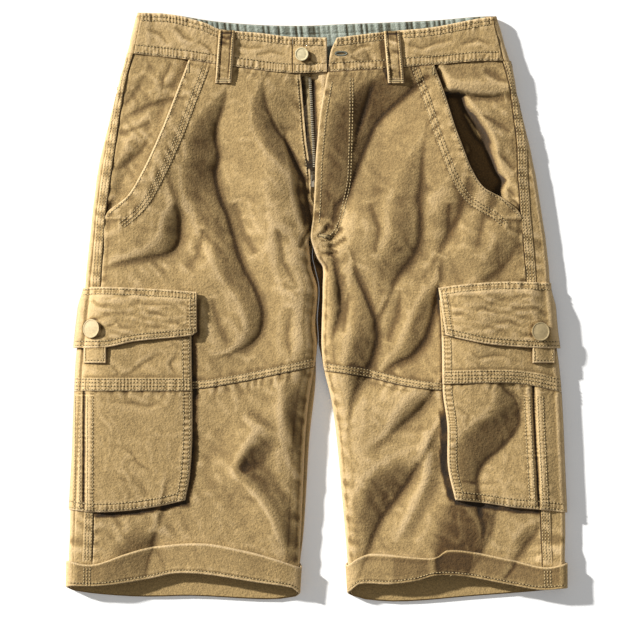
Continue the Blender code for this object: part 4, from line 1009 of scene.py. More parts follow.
for side, name in sideName.items():
    stations = runStations(form["waist"], form["hem"], 1.5, 3.7, 6)
    seamX = edgeX(side, stations, seam[side])
    y0 = rowY(side, seamX, stations)
    low = ground(y0)
    curl = clamp((95 - y0) / 55) ** 1.7
    bulge = bulgeAt(side, y0)
    uIn = side * backInner(side, y0)
    innerU, innerZ, shares = [], [], []
    turns = np.array(innerTurns)
    fineTurns = np.linspace(0, 3, 13)
    for at in fineTurns:
        k = min(int(at), 2)
        flatU, rolledU, rolledZ, share = mix(turns[k], turns[k + 1], at - k)
        edge = bulge * max(0.0, 1 - at)
        innerU.append(uIn + mix(flatU, rolledU + edge, curl))
        innerZ.append(low + rolledZ * curl)
        shares.append(mix(1, share, curl))
    innerU, innerZ, shares = (np.stack(v, axis=1) for v in (innerU, innerZ, shares))
    innerU -= (innerU - uIn[:, None]).min(axis=1, keepdims=True) * smooth(bulge)[:, None]
    foldU, foldZ, foldShare = sideFold(side, along(outer[side], y0), low, np.linspace(-90, 90, 17))
    floorShares = np.linspace(0, 1, 11)[None, 1:-1]
    floorU = mix(innerU[:, -1:], foldU[:, :1], floorShares)
    floorZ = np.repeat(low[:, None], floorU.shape[1], axis=1)
    strip = offsets((back["strip"], 0.85)) / back["strip"]
    stripU = mix(foldU[:, -1:], (side * seamX)[:, None] + gapHalf, strip[None, 1:])
    stripY = rowY(side, side * stripU, stations[:, None])
    stripZ = frontForm(side, side * stripU, stripY)
    u = np.concatenate([innerU, floorU, foldU, stripU], axis=1)
    z = np.concatenate([innerZ, floorZ, foldZ, stripZ], axis=1)
    share = np.concatenate([shares, np.ones_like(floorU), foldShare, 0 * stripU], axis=1)
    x = side * u
    y = mix(rowY(side, x, stations[:, None]), backY(side, x, stations[:, None]), share)
    y[0] -= gapHalf
    y[-1] += gapHalf
    outU, outZ = outward(u, z)
    fromSeam = side * (x - seamX[:, None])
    front = 1 - share
    bump = 0.75 * wave(y + 0.4 * x, 7, 81 + side) * bell(fromSeam, 13)
    bump += raised(fromSeam, 11.5, 0.8) + grooves(fromSeam, *seamRows["side"])
    bump += rumples(x, y, 85 + side, 0.5) * smooth(fromSeam / 8)
    bare = (1 - onPocket(side, x, y)) * smooth((y - along(cuffTop[side], x)) / 8)
    bump = bump * bare * smooth((front - 0.1) / 0.3) + turned(fromSeam, 0.5) * front
    u, z = u + outU * bump, z + outZ * bump
    ways = np.stack([-side * outU, 0 * outU, -outZ], axis=-1)
    ways[:, -1] = (0, 0, -1)
    # painted shade along the side seam
    wearAndShade = -0.9 * bell(fromSeam, 1.3) * bare * front
    # painted deep shade where the legs all but meet
    slot = smooth((bulge - 0.4) / 1.2) * smooth((y0 + 75) / 20) * smooth((92 - y0) / 8)
    shows = smooth((bulge[:, None] + 2.5 - u + uIn[:, None]) / 2) * (1 - share * curl[:, None])
    wearAndShade -= back["paintedSlotShade"] * slot[:, None] * shows
    piece = shell("back_leg_" + name, points3(side * u, y, z), cloth["thick"], ways, wearAndShadeTone=wearAndShade)
    declare(piece, ["back_" + name])
print("backs ready")


# The turned-up cuffs: closed bands round the legs

cuff = {
    "flat": (0.535, 0.036), "area": 0.0178, "top": -292.0, "high": 29,
    # painted shade where the folds above shade it, and over each whole cuff: from, to, how deep
    "shades": {left: ((-300, 0, 0.12), (-275, -191, 0.34), (-78, -60, 0.12)),
               right: ((20, 300, 0.28), (86, 136, 0.4), (134, 176, 0.5), (132, 292, 0.34))},
}
for side, name in sideName.items():
    levels = graded(30, 0.8, 1.7, 4)
    stations = mix(cuff["top"], form["hem"], levels)
    uIn = side * along(inner[side], stations)
    uSeam = side * along(seam[side], stations)
    low = ground(form["hem"]) + 0 * stations
    acrossFront = np.linspace(0, 1, 140)[None, :]
    frontU = mix(uSeam[:, None], uIn[:, None], acrossFront)
    sideTurn = np.linspace(0, 1, 9)[None, 1:-1]
    inseamU = uIn[:, None] + 2.5 * sideTurn ** 2
    foldU, foldZ, foldShare = sideFold(side, along(outer[side], stations), low, np.linspace(-90, 90, 15))
    floorU = mix(uIn[:, None] + 2.5, foldU[:, :1], np.linspace(0, 1, 16)[None, :-1])
    stripU = mix(foldU[:, -1:], uSeam[:, None], np.linspace(0, 1, 22)[None, 1:-1])
    u = np.concatenate([frontU, inseamU, floorU, foldU, stripU], axis=1)
    share = np.concatenate([0 * frontU, mix(0.25, 1, sideTurn) + 0 * inseamU, 0 * floorU + 1, foldShare,
                            0 * stripU], axis=1)
    x = side * u
    level = levels[:, None]
    yFront = mix(along(cuffTop[side], x), along(hemFront[side], x), level)
    yBack = mix(cuffBackTop + 0 * x, along(hemBack[side], x), level)
    y = mix(yFront, yBack, share)
    top = np.maximum(frontForm(side, x, y), low[:, None] + form["inseamHeight"])
    endTop = top[:, frontU.shape[1] - 1:frontU.shape[1]]
    inseamZ = mix(endTop, low[:, None], np.sin(sideTurn * math.pi / 2) ** 1.3)
    z = np.concatenate([top[:, :frontU.shape[1]], inseamZ, 0 * floorU + low[:, None], foldZ,
                        top[:, -stripU.shape[1]:]], axis=1)
    outU, outZ = outward(u, z)
    up = smooth(outZ * 2)
    fromTop, fromHem = level * cuff["high"], (1 - level) * cuff["high"]
    bump = rumples(x, y, 101 + side, 0.2)
    bump += 0.3 * wave(x + 0.3 * y, 12, 105 + side) * bell(fromTop, 9)
    bump += 0.35 * wave(x - 0.3 * y, 8, 108 + side) * bell(fromHem, 8)
    bump += groove(fromHem - 3.4) + 0.5 * bell(fromTop, 3)
    bump = bump * up - 0.9 * (1 - quarter(fromTop / 1.4)) - 0.8 * (1 - quarter(fromHem / 1.4))
    bump += 0.5 * up
    u, z = u + outU * (cuffLayer + bump), z + outZ * (cuffLayer + bump)
    ways = np.stack([-side * outU, 0 * outU, -outZ], axis=-1)
    wearAndShade = bell(fromTop, 1.7) * up + 0.5 * bell(fromHem, 1.5) * up
    for start, end, deep in cuff["shades"][side]:
        wearAndShade -= deep * smooth((x - start) / 3) * smooth((end + 0.25 * (y + 300) - x) / 2.5) * up
    piece = shell("turned_cuff_" + name, points3(side * u, y, z), cloth["thick"], ways, True,
                  wearAndShadeTone=wearAndShade)
    declare(piece, ["cuff_" + name])
print("cuffs ready")


# The waistband

band = {"high": 44, "backHigh": 46, "liningHigh": 48, "liningReach": 193.0, "floorY": 300.0,
        "extensionSeam": -28.0, "extensionEnd": 11.4}
# y and x: the right half's end at the fly, the side seams, and the outermost edges of the folds
bandEnd = ((262, 11.8), (270, 12.1), (282, 13.6), (294, 16.2), (303, 20.2), (308, 22.8))
bandSide = {left: ((290, -210), (338, -201)), right: ((280, 214), (334, 201))}
bandOuter = {left: ((290, -217.5), (338, -206.5)), right: ((280, 221), (334, 205.5))}


def bandForm(side, x, y):            # the front waistband's top before its creases
    room = np.abs(along(bandOuter[side], y)) - np.abs(x)
    dip = 3.4 * smooth((x - 26) / 56) * smooth((104 - x) / 16) if side == right else 0 * x
    lean = 0
    if side == left:                 # it rises towards the fly, and a little at the side seam
        lean = 0.016 * (x + 105) * quarter((room - form["roll"]) / 40) + 1.3 * smooth((-186 - x) / 9)
    return ground(band["floorY"]) + 2 * form["roll"] + 2.2 * quarter((room - form["roll"]) / 70) - dip + lean


def gathers(s, pitch, seed):         # fairly even little ridges across a stitched edge
    drift = 1.6 * wave(s, 5 * pitch, seed + 40)
    return np.sin(2 * math.pi * (s / pitch + drift)) * (0.7 + 0.3 * wave(s, 2.2 * pitch, seed + 41))


buttonhole = {"at": (27.5, 289.8), "long": 5.4, "wide": 2.0, "open": 1.1, "stitches": 52, "reach": 2.1}
bandCreases = (         # drawn towards the buttonhole, the button and the loops
    (((38, 290), (50, 298), (62, 300)), 1.4, 3, 6),
    (((38, 286), (50, 280), (66, 282)), 1.6, 3, 7),
    (((30, 285), (32, 278), (38, 272)), 1.5, 3, 6),
    (((24, 285), (20, 278), (18, 270)), 1.3, 3, 5),
    (((44, 296), (46, 304), (44, 312)), 1.2, 3, 5),
    (((56, 294), (60, 284), (72, 274)), 1.3, 4, 7),
    (((104, 300), (120, 296), (136, 302), (156, 306)), 1.3, 4, 9),
    (((112, 288), (136, 284), (160, 290)), 1.2, 4, 9),
    (((164, 300), (184, 306), (198, 300)), 1.3, 4, 9),
    (((-8, 296), (0, 304), (6, 306)), 1.3, 3, 6),
    (((-10, 284), (-2, 278), (6, 280)), 1.4, 3, 6),
    (((-196, 318), (-180, 312), (-170, 300)), 1.3, 4, 10),
    (((-162, 322), (-152, 308), (-140, 304)), 1.2, 4, 9),
    (((-136, 304), (-124, 296), (-116, 284)), 1.5, 4, 9),
    (((-92, 300), (-78, 296), (-60, 298)), 1.2, 4, 9),
    (((-70, 288), (-52, 292), (-36, 288)), 1.2, 4, 8),
)


def bandRelief(side, x, y, seed):
    topLine, lowLine = lineOf(bandTop[side], 6), lineOf(waistSeam[side], 6)
    fromTop = np.abs(along(bandTop[side], x) - y)
    fromLow = np.abs(y - along(waistSeam[side], x))
    value = rumples(x, y, seed, 0.75)
    value += pucker(topLine, x, y, 0.7, 11, 5.5, seed + 3, 0.15)
    value += pucker(lowLine, x, y, 0.7, 10, 7, seed + 6, 0.3)
    value += gathers(x, 4.3, seed) * 0.5 * smooth((11 - fromTop) / 3)
    value += gathers(x, 4.0, seed + 1) * 0.3 * smooth((11.5 - fromLow) / 3)
    value += grooves(fromTop, *seamRows["bandTop"]) + grooves(fromLow, *seamRows["bandLow"])
    value += 0.8 * sum(foldAt(path, deep, 1.5 * before, 1.6 * after, x, y, 1.9)
                              for path, deep, before, after in bandCreases)
    slit = ((x - buttonhole["at"][0]) / buttonhole["long"]) ** 4 + ((y - buttonhole["at"][1]) / 0.8) ** 2
    return value - 1.3 * np.exp(-slit)


# ends: how much paler the piece's two ends are, and the whole piece; below 0 the ends are darker, painted
# shade at the seams between the pieces
def bandPiece(name, node, side, edges, shares, seed, ends, drop=0.0):
    levels = graded(band["high"], 0.7, 1.4, 5)
    x, y = between(edges, curve(bandTop[side]), curve(waistSeam[side], gapHalf), shares, levels)
    near, far = np.abs(x - x[:, :1]), np.abs(x - x[:, -1:])
    z = bandForm(side, x, y) + bandRelief(side, x, y, seed) * mix(0.25, 1, smooth((x + 204) / 16)) - drop
    fromTop, fromLow = levels[:, None] * band["high"], (1 - levels[:, None]) * band["high"]
    z += turned(fromTop, 1.2, 1.8) + turned(fromLow, 0.6) + turned(near, 0.6) + turned(far, 0.6)
    wearAndShade = 0.9 * bell(fromTop, 1.7) + 0.5 * bell(fromLow, 1.3)
    wearAndShade = wearAndShade + ends[0] * bell(near, 1.5) + ends[1] * bell(far, 1.5) + ends[2] - loopShade(x, y)
    wearAndShade -= 1.2 * smooth((8.2 - np.hypot(x + 13.5, y - 286)) / 1.5)      # painted shadow of the waist button
    piece = shell(name, points3(x, y, z), cloth["band"], wearAndShadeTone=wearAndShade)
    declare(piece, [node])


bandPiece("band_front_left", "waistband_front_left", left,
          (curve(bandSide[left], gapHalf), constant(band["extensionSeam"] - gapHalf)),
          graded(182, 0.8, 1.05, 4), 121, (-0.4, -1.0, 0.2))
bandPiece("band_front_right", "waistband_front_right", right,
          (curve(bandEnd), curve(bandSide[right], -gapHalf)),
          graded(190, 0.8, 1.05, 4), 127, (1.0, -0.9, 0.0))
bandPiece("band_extension", "button_extension", left,
          (constant(band["extensionSeam"] + gapHalf), constant(band["extensionEnd"])),
          graded(39, 0.7, 1.0, 4), 133, (-1.0, 1.0, 0.26), 0.6)

# the back band, from the right side seam underneath to the left one
low = ground(band["floorY"])
levels = graded(band["backHigh"], 1.0, 2.6, 4)
halves = {}
for side in (right, left):
    (_, lowX), (_, topX) = bandSide[side]
    yEnd = mix(along(bandTop[side], topX), along(waistSeam[side], lowX), levels)
    uOut = np.abs(along(bandOuter[side], yEnd))
    uSeam = np.abs(along(bandSide[side], yEnd)) + gapHalf
    angles = np.linspace(90, -90, 15)
    foldU, foldZ, foldShare = sideFold(1, uOut, low + 0 * yEnd, angles)
    foldU = np.where(angles > 0, np.maximum(foldU, uSeam[:, None] + 0.15), foldU)
    strip = np.linspace(0, 1, 8)[None, :-1]
    stripU = mix(uSeam[:, None], foldU[:, :1], strip)
    floorU = mix(foldU[:, -1:], 0, np.linspace(0, 1, 34)[None, 1:])
    u = np.concatenate([stripU, foldU, floorU], axis=1)
    z = np.concatenate([0 * stripU + low + 12, foldZ, 0 * floorU + low], axis=1)
    share = np.concatenate([0 * stripU, foldShare, 0 * floorU + 1], axis=1)
    x = side * u
    level = levels[:, None]
    yFront = mix(along(bandTop[side], x), along(waistSeam[side], x) + gapHalf, level)
    yBack = mix(along(backBandTop, x), along(backBandBottom, x) + gapHalf, level)
    halves[side] = (x, mix(yFront, yBack, share), z, 1 - share)
x, y, z, front = (np.concatenate([a, b[:, -2::-1]], axis=1) for a, b in zip(halves[right], halves[left]))
outU, outZ = outward(-x, z)
bump = (0.45 * wave(y + 0.5 * x, 8, 141) + rumples(x, y, 143, 0.4)) * smooth((front - 0.1) / 0.4)
bump = bump - 0.8 * (1 - quarter(levels[:, None] * band["backHigh"] / 1.6)) * front
x, z = x - outU * bump, z + outZ * bump
ways = np.stack([outU, 0 * outU, -outZ], axis=-1)
ways[:, 0] = ways[:, -1] = (0, 0, -1)
piece = shell("band_back", points3(x, y, z), cloth["band"], ways)
declare(piece, ["waistband_back"])

# the band inside the back waist, drawn up into fine ribs
levels = graded(band["liningHigh"], 0.7, 1.6, 8)
x, y = between((constant(-band["liningReach"]), constant(band["liningReach"])), curve(backBandTop, -0.5),
               curve(backBandBottom, 3), np.linspace(0, 1, 310), levels)
fromTop = levels[:, None] * band["liningHigh"]
rib = wave(x + 0.12 * y, 2.9, 151) * 0.8 * (0.35 + 0.65 * bell(np.maximum(fromTop - 9, 0), 8))
z = ground(band["floorY"]) + cloth["band"] + cloth["gap"] + cloth["tape"] + 0.75 + rib * 0.8
z = z + rumples(x, y, 153, 0.25) + turned(fromTop, 0.5) + groove(fromTop - 9.5, 0.5, 1.2)
# the ribs' tops paler and their hollows darker: painted light and shade
piece = shell("band_lining", points3(x, y, z), cloth["tape"] * 0.6, look=liningLook,
              wearAndShadeTone=1.1 * rib - 0.1)
declare(piece, ["waistband_lining"])
print("waistband ready")


# Belt loops

for side, topX, bottomX, bottomY in frontLoops:
    t = graded(loopLong["front"], 0.7, 1.2, 6)[:, None]
    w = np.linspace(-1, 1, 25)[None, :]
    topY = along(bandTop[side], topX) - 0.6
    y = mix(topY, bottomY, t) + 0 * w
    middle = mix(topX, bottomX, t)
    x = middle + w * loopWidth / 2
    under = np.maximum(bandForm(side, middle, y), frontForm(side, x, y).max(axis=1, keepdims=True))
    arch = 1.3 * smooth(4 * t * (1 - t))
    z = under + 3 * cloth["gap"] + arch + loopThick
    across = np.abs(w) * loopWidth / 2
    z += 0.5 * bell(across - 7.2, 1.6) - 0.35 * bell(across - 5.4, 0.9)
    z += 0.4 * wave(y + 0.3 * x, 6, 161 + side) * (across > 5) + rumples(x, y, 163 + side, 0.35)
    ends = np.minimum(t, 1 - t) * loopLong["front"]
    z = z - 0.7 * bell(ends - 3, 1.2) + turned(loopWidth / 2 - across, 0.9, 1.4)
    wearAndShade = 0.8 * bell(loopWidth / 2 - across, 1.6) + 0.5 * bell(ends, 1.5)
    # painted shade in the gathers at the top and along the stitched grooves; darker down the middle, more on
    # the right loop
    gathered = smooth(({left: 17, right: 8}[side] - ends) / 4) * (t < 0.5)
    wearAndShade = wearAndShade - (0.75 + 0.5 * softNoise(x, 0.6 * y, 3.2, 169)) * gathered - 0.7 * bell(across - 5, 0.9)
    wearAndShade -= {left: 0.1, right: 0.45}[side] * (0.4 + softNoise(0.5 * x, y, 4, 171 + side)) * (across < 6)
    wearAndShade += 0.8 * bell(ends - 3, 2) * (t > 0.5)
    wrinkled = {left: 0.35, right: 0.8}[side] * smooth(ends / 9) * (across < 6.5)
    z += wrinkled * softNoise(0.4 * x, y + 0.3 * x, 4.5, 167 + side)
    name = "front_" + sideName[side]
    piece = shell("loop_" + name, points3(x, y, z), loopThick, wearAndShadeTone=wearAndShade)
    declare(piece, ["belt_loop_" + name])

for name, middle in (("left", -120), ("centre", 0), ("right", 120)):
    t = graded(loopLong["back"], 1.0, 2.2, 4)[:, None]
    w = np.linspace(-1, 1, 15)[None, :]
    x = middle + w * loopWidth / 2 + 0 * t
    y = along(backBandTop, middle) - 2 - t * loopLong["back"] + 0 * w
    z = cloth["thick"] + 0 * x
    across = np.abs(w) * loopWidth / 2
    low3 = points3(x, y, 0.25 * bell(across - 5.4, 1) + 0 * x)
    ways = np.zeros_like(low3)
    ways[..., 2] = 1
    piece = shell("loop_back_" + name, low3, cloth["thick"] * 0.8, ways)
    declare(piece, ["belt_loop_back_" + name])
print("belt loops ready")


# The fly: shield and zip tapes

def shieldForm(x, y):                # the fly shield's top
    up = clamp((x + 7.5) / 14) * smooth((y - 150) / 30)
    return 7.5 + 2.5 * smooth((y - 250) / 18) + 5.5 * up


fly = {"shield": {"flat": (0.046, 0.168), "from": -24.0, "low": 100.0},
       "tape": {"flat": (0.012, 0.108), "top": 264.0, "low": 156.0, "wide": 12}}
zipEdge = ((264, -9), (237, -7.4), (203, -5.8), (185, -4.6), (156, -3.6))
levels, shares = graded(168, 0.8, 2.6, 5), graded(44, 0.7, 1.6, 4)
x, y = between((constant(fly["shield"]["from"]), lambda y: mix(6.0, 22.0, smooth((y - 100) / 90))),
               curve(waistSeam[left], -cloth["gap"]), constant(fly["shield"]["low"]), shares, levels)
z = shieldForm(x, y) + rumples(x, y, 171, 0.25) - 0.3
besideTeeth = x - along(zipEdge, y) - 4.2
# painted shade beside the teeth
wearAndShade = -2.0 * bell(besideTeeth, 2.6) * (y < 262) + 0.2
piece = shell("fly_shield_cloth", points3(x, y, z), cloth["thick"] * 0.8, wearAndShadeTone=wearAndShade)
declare(piece, ["fly_shield"])

levels, shares = graded(108, 0.8, 1.6, 3), np.linspace(0, 1, 9)
tapeEnds = (constant(fly["tape"]["top"]), constant(fly["tape"]["low"]))
x, y = between((curve(inner[left], -5), curve(zipEdge)), *tapeEnds, shares, levels)
z = 9.6 + 2.5 * smooth((y - 250) / 18) + 0.1 * wave(y, 2, 173)
# painted shade under the left front's edge and between the teeth
wearAndShade = 0.35 - 2.0 * smooth((5.4 - (x - along(inner[left], y))) / 2)
wearAndShade = wearAndShade - 1.6 * bell(x - along(zipEdge, y), 1.3)
piece = shell("tape_left", points3(x, y, z), cloth["tape"] * 0.8, look=tapeLook, wearAndShadeTone=wearAndShade)
declare(piece, ["zip_tape_left"])
x, y = between((curve(inner[right], 3), curve(inner[right], 3 + fly["tape"]["wide"])), *tapeEnds, shares,
               levels)
z = frontForm(right, x, y) - 2 * layer - 0.4
piece = shell("tape_right", points3(x, y, z), cloth["tape"] * 0.8, look=tapeLook)
declare(piece, ["zip_tape_right"])
print("fly ready")


# The cargo pockets

pocket = {"wide": 135, "above": 102, "below": 138, "flats": ((0.15, 0.105), (0.15, 0.14))}
flap = {"wide": 138, "high": 66, "flat": (0.152, 0.072)}
tab = {"wide": 26.5, "high": 18.8, "top": -45.2, "low": -64.0, "flat": (0.0265, 0.019)}


def layerForm(side, x, y, lift, under=snug):         # a layer laid over the front and round its side
    inside = np.abs(along(outer[side], y)) + under - np.abs(x)
    radius = form["roll"] + under
    rise = np.sqrt(np.maximum(0, radius ** 2 - (radius - np.minimum(inside, radius)) ** 2))
    extra = (lift - under) * smooth((inside - radius) / 18)
    return np.where(inside < radius, ground(y) + form["roll"] + rise, frontForm(side, x, y) + under + extra)


def pocketForm(side, x, y):
    innerRoom = np.abs(x) - np.abs(along(pocketInner[side], y))
    lowRoom = y - along(pocketBottom[side], x)
    lift = mix(2.3, 4.4, quarter(np.minimum(innerRoom, lowRoom) / 11))
    return layerForm(side, x, y, lift)


def flapUnder(y):
    return mix(snug, flapSnug, smooth((24 - y) / 26))


def flapForm(side, x, y):
    sewn = smooth((along(flapTop[side], x) - y) / 12)
    free = smooth((np.abs(x) - np.abs(along(flapInner[side], y))) / 7)
    lift = mix(4.4, 8.0, sewn * mix(0.75, 1, free))
    return layerForm(side, x, y, lift, flapUnder(y))


def legShares(width):                # from the rounded side fold inwards
    angles = np.radians(np.linspace(0, 90, 9))
    radius = form["roll"] + snug
    bend = radius * (1 - np.cos(angles))
    flatRun = offsets((width - radius - 6, 1.5), (width - radius, 0.8)) + radius
    return np.concatenate([bend, flatRun[1:]]) / width


def pleatRelief(side, x, y):                         # two pressed ridges either side of the slot
    apart = side * (x - along(pleat[side], y))
    low = clamp((y - along(pocketBottom[side], x)) / 14)
    slot = -2.6 * bell(apart, 1.4)
    outerRidge = 0.9 * bell(apart - 6.5, 3)
    innerRidge = bell(apart + 6.5, 3)
    return (slot + outerRidge + innerRidge) * low


# edges: 1 where the inner, upper and lower edges are finished ones
def pocketPiece(name, node, side, innerEdge, top, bottom, form3, detail, width, height, under, seed,
                edges):
    levels = graded(height, 0.7, 1.5, 5)

    def outerEdge(y):
        return along(outer[side], y) + side * under(y)

    x, y = between((outerEdge, curve(innerEdge)), top, bottom, legShares(width), levels)
    fromInner = np.abs(x - x[:, -1:])
    fromTop, fromLow = levels[:, None] * height, (1 - levels[:, None]) * height
    inside = smooth((np.abs(x - x[:, :1]) - 1) / 10)
    relief = (detail(side, x, y) + rumples(x, y, seed, 0.6)) * inside
    relief += 0.5 * wave(y + 0.2 * x, 7, seed + 3) * bell(fromInner, 9)
    relief += 0.38 * gathers(y, 4.8, seed + 5) * smooth((12 - fromInner) / 3) * edges[0]
    relief += grooves(fromInner, *seamRows["pocket"]) * edges[0]
    z = form3(side, x, y) + relief + turned(fromInner, 1.0)
    z += turned(fromTop, 0.8) * edges[1] + turned(fromLow, 1.0) * edges[2]
    z += 0.7 * wave(x - 0.3 * y, 8, seed + 6) * bell(fromLow, 8) * edges[2] * inside
    wearAndShade = bell(fromInner, 1.6) + 1.0 * edges[2] * bell(fromLow, 1.6)
    # painted shade on the lee faces
    wearAndShade += 0.7 * edges[1] * bell(fromTop, 1.4) - 0.85 * readMap(paintedLeeShade, x, y)
    if edges == (1, 0, 1):           # below the band: painted shade along its seam and in the pleat's slot
        wearAndShade = wearAndShade - 0.8 * bell(fromTop, 1.6) - 1.2 * bell(x - along(pleat[side], y), 1.5)
    if edges == (1, 1, 1):
        wearAndShade -= 0.9 * buttonShade(x, y)
    if edges == (1, 0, 0):           # painted shade under the flap and round the tab
        wearAndShade += 0.6 * bell(fromLow, 1.3)
        below = along(flapBottom[side], x) - y
        near, far = tabSpan[side]
        fromTab = np.maximum(np.abs(x - (near + far) / 2) - 13.2, -64 - y)
        wearAndShade = wearAndShade - bell(np.maximum(below, 0), 2.4) - 0.9 * bell(np.maximum(fromTab, 0), 1.8) * (y > -68)
    piece = shell(name, points3(x, y, z), cloth["thick"], wearAndShadeTone=wearAndShade)
    declare(piece, [node])


# creases on the pockets below the flaps
pocketCreases = (
    (((-178, -50), (-196, -62), (-210, -74), (-222, -80)), 2.0, 5, 12),
    (((-158, -52), (-166, -66), (-160, -80)), 1.4, 5, 8),
    (((-236, -66), (-228, -76), (-232, -84)), 1.2, 4, 8),
    (((-236, -104), (-200, -112), (-176, -106)), 1.2, 6, 9),
    (((-244, -150), (-214, -168), (-186, -190)), 1.3, 9, 14),
    (((-236, -190), (-214, -200), (-190, -214)), 1.2, 7, 10),
    (((166, -50), (186, -58), (214, -54), (232, -62)), 1.4, 5, 9),
    (((176, -70), (196, -76), (216, -72)), 1.2, 5, 8),
    (((160, -110), (172, -122), (168, -140)), 1.4, 6, 9),
    (((222, -95), (232, -108), (238, -118)), 1.6, 4, 6),
    (((166, -196), (190, -204), (212, -200)), 1.2, 6, 9),
)


def drawn(creases, share, x, y, seed):       # creases that waver and fade in places
    bentX, bentY = x + 3 * softNoise(x, y, 13, seed), y + 3 * softNoise(x, y, 13, seed + 1)
    strength = 0.9 + 0.6 * softNoise(x, y, 17, seed + 2)
    return strength * sum(foldAt(path, share * deep, 1.3 * before, 1.4 * after, bentX, bentY, 1.8)
                          for path, deep, before, after in creases)


def upperPocketRelief(side, x, y):
    band = y - along(pocketBand[side], x)
    value = raised(band, 16, 0.8) + grooves(band, *seamRows["pocketBand"])
    value += 0.34 * gathers(x, 3.9, 183 + side) * smooth(band / 2) * smooth((17 - band) / 3)
    value += drawn(pocketCreases, 0.55, x, y, 241)
    return value + pucker(lineOf(pocketBand[side], 6), x, y, 0.5, 12, 9, 181 + side)


def lowerPocketRelief(side, x, y):
    low = y - along(pocketBottom[side], x)
    value = pleatRelief(side, x, y) + grooves(low, 3, 9.5)
    value += drawn(pocketCreases, 0.55, x, y, 241)
    fromPleat = np.abs(x - along(pleat[side], y))
    value += 0.4 * gathers(y, 4.8, 187 + side) * smooth((14 - fromPleat) / 3)
    value += 0.3 * gathers(x, 4.2, 189 + side) * smooth((12 - low) / 3)
    return value + pucker(lineOf(pocketBand[side], 6), x, y, 0.6, 8, 8, 185 + side)


# lines, depth, and how far each side reaches
flapCreases = (
    (((-250, 6), (-226, 12), (-196, 14), (-170, 10)), 1.3, 5, 9),
    (((-222, -6), (-212, 3), (-190, 5), (-160, 2), (-146, 5)), 1.7, 4, 11),
    (((-262, -18), (-246, -12), (-236, -6)), 1.2, 4, 7),
    (((-214, -24), (-196, -20), (-176, -26)), 1.0, 5, 8),
    (((-158, -22), (-150, -10)), 1.2, 4, 7),
    (((160, 4), (182, 10), (204, 6), (230, 12)), 1.5, 5, 9),
    (((176, -8), (190, -2), (208, -10), (226, -4)), 1.4, 4, 8),
    (((240, 8), (252, -2), (262, -12)), 1.2, 4, 7),
    (((158, -20), (176, -24), (196, -22)), 1.1, 5, 8),
    (((-270, 8), (-262, -4), (-268, -14)), 1.3, 3, 6),
    (((-240, -22), (-226, -16), (-218, -22)), 1.2, 3, 6),
    (((-204, -10), (-186, -8), (-170, -14)), 1.2, 3, 6),
    (((204, -22), (220, -16), (236, -24)), 1.3, 3, 6),
    (((214, 2), (226, 10), (244, 4)), 1.2, 3, 6),
)


def flapRelief(side, x, y):
    low = y - along(flapBottom[side], x)
    high = along(flapTop[side], x) - y
    value = grooves(low, *seamRows["flap"]) + grooves(high, *seamRows["flapTop"])
    value += 0.3 * gathers(x, 4.4, 193 + side) * smooth((10 - np.minimum(high, 1.4 * low)) / 3)
    value += drawn(flapCreases, 0.4, x, y, 251)
    value += 0.5 * softNoise(0.35 * x + 0.1 * y, y, 5, 253) * smooth(low / 8)
    return value + pucker(lineOf(flapTop[side], 6), x, y, 0.75, 9, 7, 191 + side)


for side, name in sideName.items():
    pocketPiece("pocket_above_" + name, "pocket_upper_" + name, side, pocketInner[side], constant(pocketTop),
                curve(pocketBand[side], gapHalf), pocketForm, upperPocketRelief, pocket["wide"],
                pocket["above"], constant(snug), 201 + side, (1, 0, 0))
    pocketPiece("pocket_below_" + name, "pocket_lower_" + name, side, pocketInner[side],
                curve(pocketBand[side], -gapHalf), curve(pocketBottom[side]), pocketForm, lowerPocketRelief,
                pocket["wide"], pocket["below"], constant(snug), 211 + side, (1, 0, 1))
    pocketPiece("flap_" + name, "pocket_flap_" + name, side, flapInner[side], curve(flapTop[side]),
                curve(flapBottom[side]), flapForm, flapRelief, flap["wide"], flap["high"], flapUnder,
                221 + side, (1, 1, 1))
    near, far = tabSpan[side]
    levels, shares = graded(tab["high"], 0.6, 1.0, 2), graded(tab["wide"], 0.6, 1.1, 3)
    ends = (constant(tab["top"]), constant(tab["low"]))
    x, y = between((constant(near), constant(far)), *ends, shares, levels)
    z = pocketForm(side, x, y) + layer + 1.2 + rumples(x, y, 231 + side, 0.3)
    fromLow = (1 - levels[:, None]) * tab["high"]
    fromSides = np.minimum(np.abs(x - near), np.abs(x - far))
    z += turned(fromLow, 0.8) + turned(fromSides, 0.8) + groove(fromLow - 3) + groove(fromSides - 2.5)
    wearAndShade = bell(fromLow, 1.6) + 0.9 * bell(fromSides, 1.5)
    # painted shade where the tab goes under the flap
    wearAndShade -= 0.9 * bell(levels[:, None] * tab["high"], 2.5)
    piece = shell("tab_" + name, points3(x, y, z), cloth["thick"], wearAndShadeTone=wearAndShade)
    declare(piece, ["pocket_tab_" + name])
print("cargo pockets ready")


# Buttons, the zip's teeth and its metal

surfaces = {}


def topOf(name, x, y):               # the piece's upper surface at places in millimetres
    if name not in surfaces:
        mesh = built[name].data
        surfaces[name] = BVHTree.FromPolygons([point.co for point in mesh.vertices],
                                              [face.vertices for face in mesh.polygons])
    heights = []
    for at in zip(x, y):
        spot = surfaces[name].ray_cast(Vector((at[0] * mm, at[1] * mm, 0.08)), Vector((0, 0, -1)))[0]
        heights.append(spot.z / mm if spot else np.nan)
    return np.array(heights)


def upon(name, x, y, reach):         # the cloth's height and slope at a place
    spots = [(x, y), (x + reach, y), (x - reach, y), (x, y + reach), (x, y - reach)]
    z = topOf(name, *zip(*spots))
    return z[0], Vector(((z[2] - z[1]) / (2 * reach), (z[4] - z[3]) / (2 * reach), 1)).normalized()


